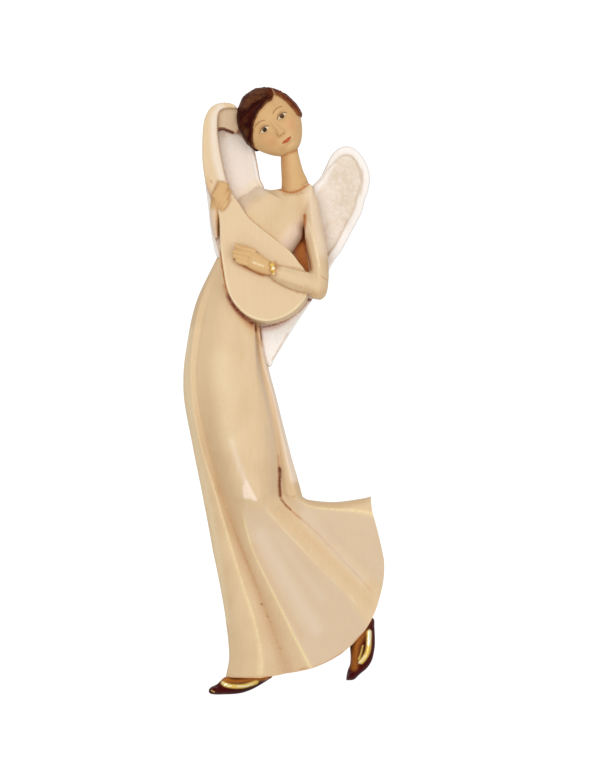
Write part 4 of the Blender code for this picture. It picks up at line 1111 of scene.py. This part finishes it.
def mixed(tree, share, under, over):
    node = tree.nodes.new("ShaderNodeMix")
    node.data_type = "RGBA"
    tree.links.new(share, node.inputs["Factor"])
    for socket, value in (("A", under), ("B", over)):
        socket = [found for found in node.inputs if found.name == socket and found.type == "RGBA"][0]
        if isinstance(value, tuple):
            socket.default_value = (*value, 1.0)
        else:
            tree.links.new(value, socket)
    return [found for found in node.outputs if found.type == "RGBA"][0]


def attribute(tree, name):
    node = tree.nodes.new("ShaderNodeAttribute")
    node.attribute_name = name
    return node.outputs["Fac"]


def raise_surface(tree, shader, height, strength, distance):
    """Fine relief from a pattern. distance is in metres."""
    node = tree.nodes.new("ShaderNodeBump")
    node.inputs["Strength"].default_value = strength
    node.inputs["Distance"].default_value = distance
    tree.links.new(height, node.inputs["Height"])
    tree.links.new(node.outputs["Normal"], shader.inputs["Normal"])


def painted(name, base, mottles, own_layers=(), roughness=0.45, bump_strength=0.12, specular=0.16):
    """Brushed paint over carved wood.

    A mottle is scales, detail, turn, low, high, strength and colour. A layer is an attribute that holds
    where the paint lies, its colour, its strength, and how much it breaks up. The brushes come last.
    """
    material, tree, shader = new_nodes(name)
    colour = base
    for scales, detail, turn, low, high, strength, blotch in mottles:
        share = ranged(tree, add_noise(tree, scales, detail, turn), low, high, 0.0, strength)
        colour = mixed(tree, share, colour, blotch)
    worn = add_noise(tree, (420.0, 420.0, 420.0), 4.0)
    brushes = tuple((key, *BRUSHES[key]) for key in BRUSHES)
    for layer, layer_colour, strength, broken in own_layers + brushes:
        lies = combined(tree, "MULTIPLY", attribute(tree, layer), strength)
        breaks = ranged(tree, worn, 0.35, 0.6, 1.0 - broken, 1.0)
        share = combined(tree, "MULTIPLY", lies, breaks)
        share = combined(tree, "MINIMUM", share, 1.0)
        colour = mixed(tree, share, colour, layer_colour)
        if layer == "gold":
            tree.links.new(combined(tree, "MULTIPLY", share, GILT_METAL), shader.inputs["Metallic"])
    tree.links.new(colour, shader.inputs["Base Color"])
    gloss = add_noise(tree, (160.0, 160.0, 60.0), 3.0)
    gloss = ranged(tree, gloss, 0.3, 0.7, roughness - 0.06, roughness + 0.08)
    tree.links.new(gloss, shader.inputs["Roughness"])
    shader.inputs["Specular IOR Level"].default_value = specular
    brush = add_noise(tree, (1500.0, 1500.0, 90.0), 3.0, 0.15)
    grain = add_noise(tree, (900.0, 900.0, 900.0), 2.0)
    height = combined(tree, "ADD", brush, combined(tree, "MULTIPLY", grain, 0.5))
    raise_surface(tree, shader, height, bump_strength, distance=0.0004)
    return material


def bare_wood():
    """Plain sawn wood of the flat back, with its grain running up."""
    material, tree, shader = new_nodes("bare_wood")
    rings = add_noise(tree, (90.0, 90.0, 5.0), 4.0)
    fibres = add_noise(tree, (1400.0, 1400.0, 40.0), 3.0)
    colour = mixed(tree, ranged(tree, rings, 0.35, 0.65), BARE_WOOD, BARE_WOOD_DARK)
    colour = mixed(tree, ranged(tree, fibres, 0.45, 0.75, 0.0, 0.45), colour, BARE_WOOD_DARK)
    tree.links.new(colour, shader.inputs["Base Color"])
    tree.links.new(ranged(tree, fibres, 0.3, 0.7, 0.62, 0.8), shader.inputs["Roughness"])
    raise_surface(tree, shader, fibres, strength=0.3, distance=0.0003)
    return material


# A face belongs to the bare back when it faces back this squarely and lies this near the back plane
BACK_FACING = 0.9
BACK_BAND = 0.002


def wear(piece, material, wood):
    """Paints the front and leaves the flat back bare."""
    mesh = piece.data
    mesh.materials.clear()
    mesh.materials.append(material)
    mesh.materials.append(wood)
    for face in mesh.polygons:
        if face.normal.y > BACK_FACING and face.center.y > -BACK_BAND:
            face.material_index = 1


CONTACT_REACH = 0.004


def contact(piece, others):
    """Each point's distance from the other pieces."""
    points, faces, start = [], [], 0
    for other in others:
        if other is piece:
            continue
        found = points_of(other)
        points += found.tolist()
        faces += [[index + start for index in face.vertices] for face in other.data.polygons]
        start += len(found)
    tree = BVHTree.FromPolygons(points, faces)
    gaps = (tree.find_nearest(point, CONTACT_REACH)[3] for point in points_of(piece))
    return np.array([gap or CONTACT_REACH for gap in gaps])


def make_pieces():
    gown_piece, column, row = gown()
    arm = [limb(UPPER_ARM, sides=48, rows=110, facet=0.15), limb(FOREARM, sides=48, rows=80)]
    fuse("chest", [torso()] + arm, CHEST_VOXEL, CHEST_PASSES)
    wing("left_wing", LEFT_WING_OUTLINE, LEFT_WING_SPINE, LEFT_WING_OUT, WING_NARROW_RIM, WING_NARROW_RIM,
         LEFT_WING_SUNK)
    wing("right_wing", RIGHT_WING_OUTLINE, RIGHT_WING_SPINE, RIGHT_WING_OUT, WING_NO_RIM, WING_WIDE_RIM,
         RIGHT_WING_SUNK)
    lute()
    peg_box()
    add_rings("neck", limb(NECK, sides=48, rows=60))
    flat = [limb(PALM, sides=28, rows=40)] + [finger(root, tip, HAND_DEPTH) for root, tip in FLAT_FINGERS]
    grip = [limb(GRIP_WRIST, sides=28, rows=50)]
    grip += [finger(root, tip, GRIP_DEPTH, GRIP_FINGER_BEND) for root, tip in GRIP_FINGERS]
    fuse("strumming_hand", flat, HAND_VOXEL, HAND_PASSES)
    fuse("gripping_hand", grip, HAND_VOXEL, HAND_PASSES)
    head_spots, hair_spots = head(), hair()
    bracelet()
    shoe("left_shoe", LEFT_SHOE_OUTLINE, LEFT_SHOE_SPINE)
    shoe("right_shoe", RIGHT_SHOE_OUTLINE, RIGHT_SHOE_SPINE)
    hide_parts("angel")
    return column, row, head_spots, hair_spots


def paint_face(piece, spots):
    """Where the painted features and the painted shade of the nose and nostrils lie on the face, in shares
    of half the head as the places above are.
    """
    side = spots[:, 0] - FACE_MIDDLE
    rise = spots[:, 1]
    front = smoothstep(spots[:, 2], 0.1, 0.3)
    mirrored = np.abs(side) - EYE_SIDE
    height = EYE_HALF_HEIGHT * np.clip(1 - (mirrored / EYE_HALF_WIDTH) ** 2, 0, 1)
    lift = rise - EYE_RISE
    in_eye = smoothstep(height - np.abs(lift), -0.004, 0.012) * (np.abs(mirrored) < EYE_HALF_WIDTH)
    iris = smoothstep(np.hypot(mirrored, lift * 1.15), IRIS_RADIUS, IRIS_RADIUS * 0.85) * in_eye
    glint = 0.4 * smoothstep(np.hypot(side - np.sign(side) * EYE_SIDE + 0.025, lift - 0.03), 0.014, 0.005)
    off_eye = np.abs(mirrored)
    lid = bump(lift, height + 0.008, 0.015) * smoothstep(off_eye, EYE_HALF_WIDTH * 1.15, EYE_HALF_WIDTH)
    fold = 0.5 * bump(lift, height * 1.15 + 0.045, 0.012)
    fold = fold * smoothstep(off_eye, EYE_HALF_WIDTH, EYE_HALF_WIDTH * 0.7)
    under = 0.6 * bump(lift, -height - 0.006, 0.010) * smoothstep(off_eye, EYE_HALF_WIDTH, 0.1)
    arch = BROW_RISE + 0.05 - 1.1 * (mirrored - 0.02) ** 2
    brow = bump(rise, arch, 0.017) * smoothstep(off_eye, 0.24, 0.17)
    edge = np.clip(1 - (side / MOUTH_HALF_WIDTH) ** 2, 0, 1)
    bow = 0.036 * edge**0.8 - 0.012 * bump(side, 0.0, 0.035)
    upper = smoothstep(rise, MOUTH_RISE + bow + 0.010, MOUTH_RISE + bow - 0.004) * (rise > MOUTH_RISE)
    lower = smoothstep(rise, MOUTH_RISE - 0.060 * edge - 0.010, MOUTH_RISE - 0.060 * edge + 0.004)
    lips = (upper + lower * (rise <= MOUTH_RISE)) * (edge > 0)
    mouth_line = bump(rise, MOUTH_RISE, 0.009) * (edge > 0.02)
    # painted shade in the nostrils
    shaded_nostrils = bump(np.abs(side), 0.06, 0.022) * bump(rise, NOSE_FOOT + 0.005, 0.013)
    # painted shade down one side of the nose
    shaded_nose_side = 0.5 * bump(side, -0.135, 0.03) * bump(rise, NOSE_FOOT + 0.08, 0.09)
    blush = bump(np.abs(side), 0.45, 0.2) * bump(rise, -0.38, 0.17)
    for name, laid in (
        ("eye_white", in_eye), ("eye_dark", np.maximum(iris * (1 - glint), lid * 0.95)), ("lips", lips),
        ("brows_lids_nose_shade", np.maximum.reduce([brow, fold, under, shaded_nose_side])), ("blush", blush),
        ("mouth_and_nostril_shade", np.maximum(mouth_line * 0.7, shaded_nostrils)),
    ):
        paint(piece, name, laid * front)


# The carver's unevenness: its height and its scale in metres
CARVING = {"gown": (0.00022, 0.022), "chest": (0.0002, 0.016), "lute": (0.00012, 0.02),
           "left_wing": (0.00015, 0.014), "right_wing": (0.00015, 0.014)}
# The wash and painted shade where pieces meet: how far it reaches, how much that varies and over what
# length, in metres
CREVICE_REACH = 0.0013
CREVICE_CHANGE = 0.0007
CREVICE_SCALE = 0.006
# Where the wash and its painted shade end and where they are full, in shares of its reach
CREVICE_ENDS = 1.6
CREVICE_FULL = 0.3
# Distances in from a wing's edge, in metres, between which the tint of its field sets in
FIELD_STARTS = {"right_wing": (0.0052, 0.0078), "left_wing": (0.0026, 0.0048)}


def lay_strokes():
    """Carves the fronts a little and lays the washes, with painted shade where pieces meet, and the strokes
    on every piece.
    """
    for name, (amount, scale) in CARVING.items():
        carve(pieces[name], amount, scale, len(name))
    everything = list(pieces.values())
    for name, piece in pieces.items():
        near = contact(piece, everything)
        reach = CREVICE_REACH + CREVICE_CHANGE * rough(points_of(piece), CREVICE_SCALE, 3)
        # wash and painted shade, darkest where the pieces touch
        paint(piece, "crevice", smoothstep(near, reach * CREVICE_ENDS, reach * CREVICE_FULL))
        for brush in BRUSHES:
            groups = [found for key, names, found in STROKES if key == brush and name in names]
            if groups:
                paint(piece, brush, strokes(piece, sum(groups, ())))


def tint_gown(column, row):
    """The gown's crests with dry-brushed pale paint and painted highlight, its deep valley and its pale
    panels, by fold line and station.
    """
    piece = pieces["gown"]
    count = len(piece.data.vertices)
    columns = np.full(count, -1.0)
    columns[: len(column)] = column
    rows = np.zeros(count)
    rows[: len(row)] = row
    share_down = (rows - LEG_STATIONS) / FLARE_STATIONS
    crest_a = bump(columns, 1.0, 0.08) * smoothstep(rows, 60, 120)
    crest_b = bump(columns, 3.0, 0.05) * smoothstep(share_down, 0.04, 0.16)
    crest_e = bump(columns, 8.0, 0.075) * smoothstep(share_down, 0.0, 0.12)
    # dry-brushed pale paint and painted highlight along the crests
    paint(piece, "crest", np.maximum.reduce([crest_a * 0.7, crest_b, crest_e]))
    valley_a = bump(columns, 2.05, 0.45) * smoothstep(rows, 60, 120)
    valley_a *= 0.5 + 0.5 * smoothstep(share_down, 0.0, 0.3)
    paint(piece, "valley", valley_a)
    pale = smoothstep(share_down, -0.02, 0.12) * (
        smoothstep(columns, 3.02, 3.1) * smoothstep(columns, 5.1, 4.9)
        + smoothstep(columns, 6.1, 6.5) * smoothstep(columns, 8.0, 7.9))
    paint(piece, "pale", pale)


def tint_wings():
    """The tint of each wing's sunk field."""
    for name, start in FIELD_STARTS.items():
        piece = pieces[name]
        up = on_drawing(points_of(piece))[:, 1]
        inset = np.concatenate(wing_insets[name])
        paint(piece, "field", smoothstep(inset, *start) * smoothstep(up, *FIELD_END))


def tint_hair(spots):
    """The hair's pale strands, its reddish parts, its painted sheen and its parting."""
    piece = pieces["hair"]
    side, rise = spots[:, 0], spots[:, 1]
    strands = strand_angle(side, rise)
    paint(piece, "strand", smoothstep(np.sin(strands * 41 + 3 * np.sin(rise * 6)), 0.2, 1.0))
    paint(piece, "reddish", smoothstep(side, 0.35, 0.75))
    # painted sheen on the hair
    paint(piece, "hair_sheen", strokes(piece, (SHEEN_STROKE,)))
    paint(piece, "parting", strokes(piece, (PARTING_LINE,)))


def dress(column, row, head_spots, hair_spots):
    """Works out where each paint lies and gives every piece its materials."""
    lay_strokes()
    tint_gown(column, row)
    tint_wings()
    tint_hair(hair_spots)
    paint_face(pieces["head"], head_spots)

    streaks = ((500.0, 500.0, 26.0), 3.0, 0.18, 0.45, 0.75, 0.17)
    blotches = ((34.0, 34.0, 22.0), 3.0, 0.0, 0.42, 0.72, 0.4)
    specks = ((260.0, 260.0, 160.0), 4.0, 0.0, 0.52, 0.78, 0.16)
    cloth = ((*streaks, GOWN_PALE), (*blotches, GOWN_DEEP), (*specks, GOWN_DEEP))
    gown_paint = painted(
        "gown_paint", GOWN_TAN, cloth,
        (("pale", tint(219, 195, 167), 0.7, 0.35), ("valley", tint(206, 166, 126), 0.8, 0.2),
         # the crests' pale paint and painted highlight
         ("crest", tint(251, 228, 176), 0.9, 0.5)))
    sleeve_paint = painted("sleeve_paint", GOWN_TAN, cloth)
    lute_paint = painted("lute_paint", LUTE_BEIGE,
                         ((*streaks, GOWN_PALE), (*blotches, GOWN_TAN), (*specks, GOWN_DEEP)))
    wing_paint = painted("wing_paint", WING_WHITE, ((*streaks, WING_FIELD), (*specks, WING_FIELD)),
                         (("field", WING_FIELD, 0.8, 0.4),), roughness=0.55)
    skin_paint = painted("skin_paint", SKIN, ((*blotches, SKIN_DEEP),), roughness=0.42)
    face_paint = painted(
        "face_paint", SKIN, ((*blotches, SKIN_DEEP),),
        (("blush", tint(222, 150, 104), 0.4, 0.0), ("eye_white", EYE_WHITE, 0.9, 0.0),
         # the brown lays also painted shade beside the nose, the dark one painted shade in the nostrils
         ("lips", LIP_RED, 0.95, 0.1), ("brows_lids_nose_shade", BROW_AND_SHADE_BROWN, 0.85, 0.1),
         ("mouth_and_nostril_shade", MOUTH_AND_NOSTRIL_BROWN, 0.85, 0.0), ("eye_dark", EYE_DARK, 1.0, 0.0)), roughness=0.42)
    hair_paint = painted("hair_paint", HAIR_BROWN, ((*streaks, HAIR_RED),),
                         (("strand", HAIR_RED, 0.35, 0.2), ("reddish", tint(122, 50, 22), 0.6, 0.2),
                          # the hair's painted sheen
                          ("hair_sheen", tint(106, 62, 44), 0.5, 0.25),
                          ("parting", tint(190, 148, 116), 0.9, 0.3)),
                         roughness=0.36, bump_strength=0.2, specular=0.05)
    shoe_paint = painted("shoe_paint", SHOE_RED, ((*blotches, SHOE_BLACK),),
                         roughness=0.22, bump_strength=0.08, specular=0.06)
    gilding = painted("gilding", GOLD, ((*specks, GOLD_DEEP),), roughness=0.3)
    materials = {
        "gown": gown_paint, "chest": sleeve_paint, "lute": lute_paint, "peg_box": lute_paint,
        "left_wing": wing_paint, "right_wing": wing_paint, "neck": skin_paint,
        "strumming_hand": skin_paint, "gripping_hand": skin_paint, "head": face_paint,
        "hair": hair_paint, "left_shoe": shoe_paint, "right_shoe": shoe_paint, "bracelet": gilding,
    }
    wood = bare_wood()
    for name, piece in pieces.items():
        wear(piece, materials[name], wood)


# The photograph's frame on the drawing: squares across and up at its middle, and squares tall
FRAME_MIDDLE = (12.0, 31.0)
FRAME_TALL = 78.0
CAMERA_DISTANCE = 9.0
SENSOR = 36.0
FARTHEST_SEEN = 40.0
# Soft lights: place from the middle of the frame in metres, size in metres, and power in watts
LIGHTS = {"key": ((-0.8, -2.2, 0.9), 1.4, 18.0), "fill": ((1.5, -2.0, 0.1), 1.6, 15.0)}
# The strength of the sky as light and as the backdrop that the camera sees
SKY_LIGHT, SKY_SEEN = 0.66, 1.1
FLOOR_RADIUS = 2.0
FLOOR_DROP = 0.20
FLOOR_SIDES = 96


def stage():
    """The pale floor, the soft lights and the camera."""
    scene = bpy.context.scene
    scene.view_settings.view_transform = "Standard"
    target = Vector(place(*FRAME_MIDDLE, 0.0))

    camera = bpy.data.objects.new("camera", bpy.data.cameras.new("camera"))
    scene.collection.objects.link(camera)
    camera.location = target + Vector((0.0, -CAMERA_DISTANCE, 0.0))
    camera.rotation_euler = (math.pi / 2, 0.0, 0.0)
    camera.data.sensor_width = SENSOR
    camera.data.lens = SENSOR * CAMERA_DISTANCE / (FRAME_TALL * SQUARE)
    camera.data.clip_end = FARTHEST_SEEN
    scene.camera = camera

    world = bpy.data.worlds.new("world")
    scene.world = world
    world.use_nodes = True
    background = world.node_tree.nodes["Background"]
    background.inputs["Color"].default_value = (1.0, 1.0, 1.0, 1.0)
    path = world.node_tree.nodes.new("ShaderNodeLightPath")
    level = ranged(world.node_tree, path.outputs["Is Camera Ray"], 0.0, 1.0, SKY_LIGHT, SKY_SEEN)
    world.node_tree.links.new(level, background.inputs["Strength"])

    for name, (spot, size, power) in LIGHTS.items():
        data = bpy.data.lights.new(name, "AREA")
        data.shape = "DISK"
        data.size = size
        data.energy = power
        light = bpy.data.objects.new(name, data)
        scene.collection.objects.link(light)
        light.location = target + Vector(spot)
        light.rotation_euler = (target - light.location).to_track_quat("-Z", "Y").to_euler()

    mesh = bpy.data.meshes.new("floor")
    turns = [2 * math.pi / FLOOR_SIDES * step for step in range(FLOOR_SIDES)]
    floor_up = BOTTOM - FLOOR_DROP
    rim = [(FLOOR_RADIUS * math.cos(turn), FLOOR_RADIUS * math.sin(turn), floor_up) for turn in turns]
    mesh.from_pydata(rim, [], [tuple(range(FLOOR_SIDES))])
    floor = bpy.data.objects.new("floor", mesh)
    scene.collection.objects.link(floor)
    material, tree, shader = new_nodes("pale_floor")
    pale = mixed(tree, ranged(tree, add_noise(tree, (6.0, 6.0, 6.0), 2.0), 0.3, 0.7), (0.86, 0.85, 0.83),
                 (0.82, 0.81, 0.79))
    tree.links.new(pale, shader.inputs["Base Color"])
    shader.inputs["Roughness"].default_value = 0.8
    mesh.materials.append(material)


stage()
dress(*make_pieces())
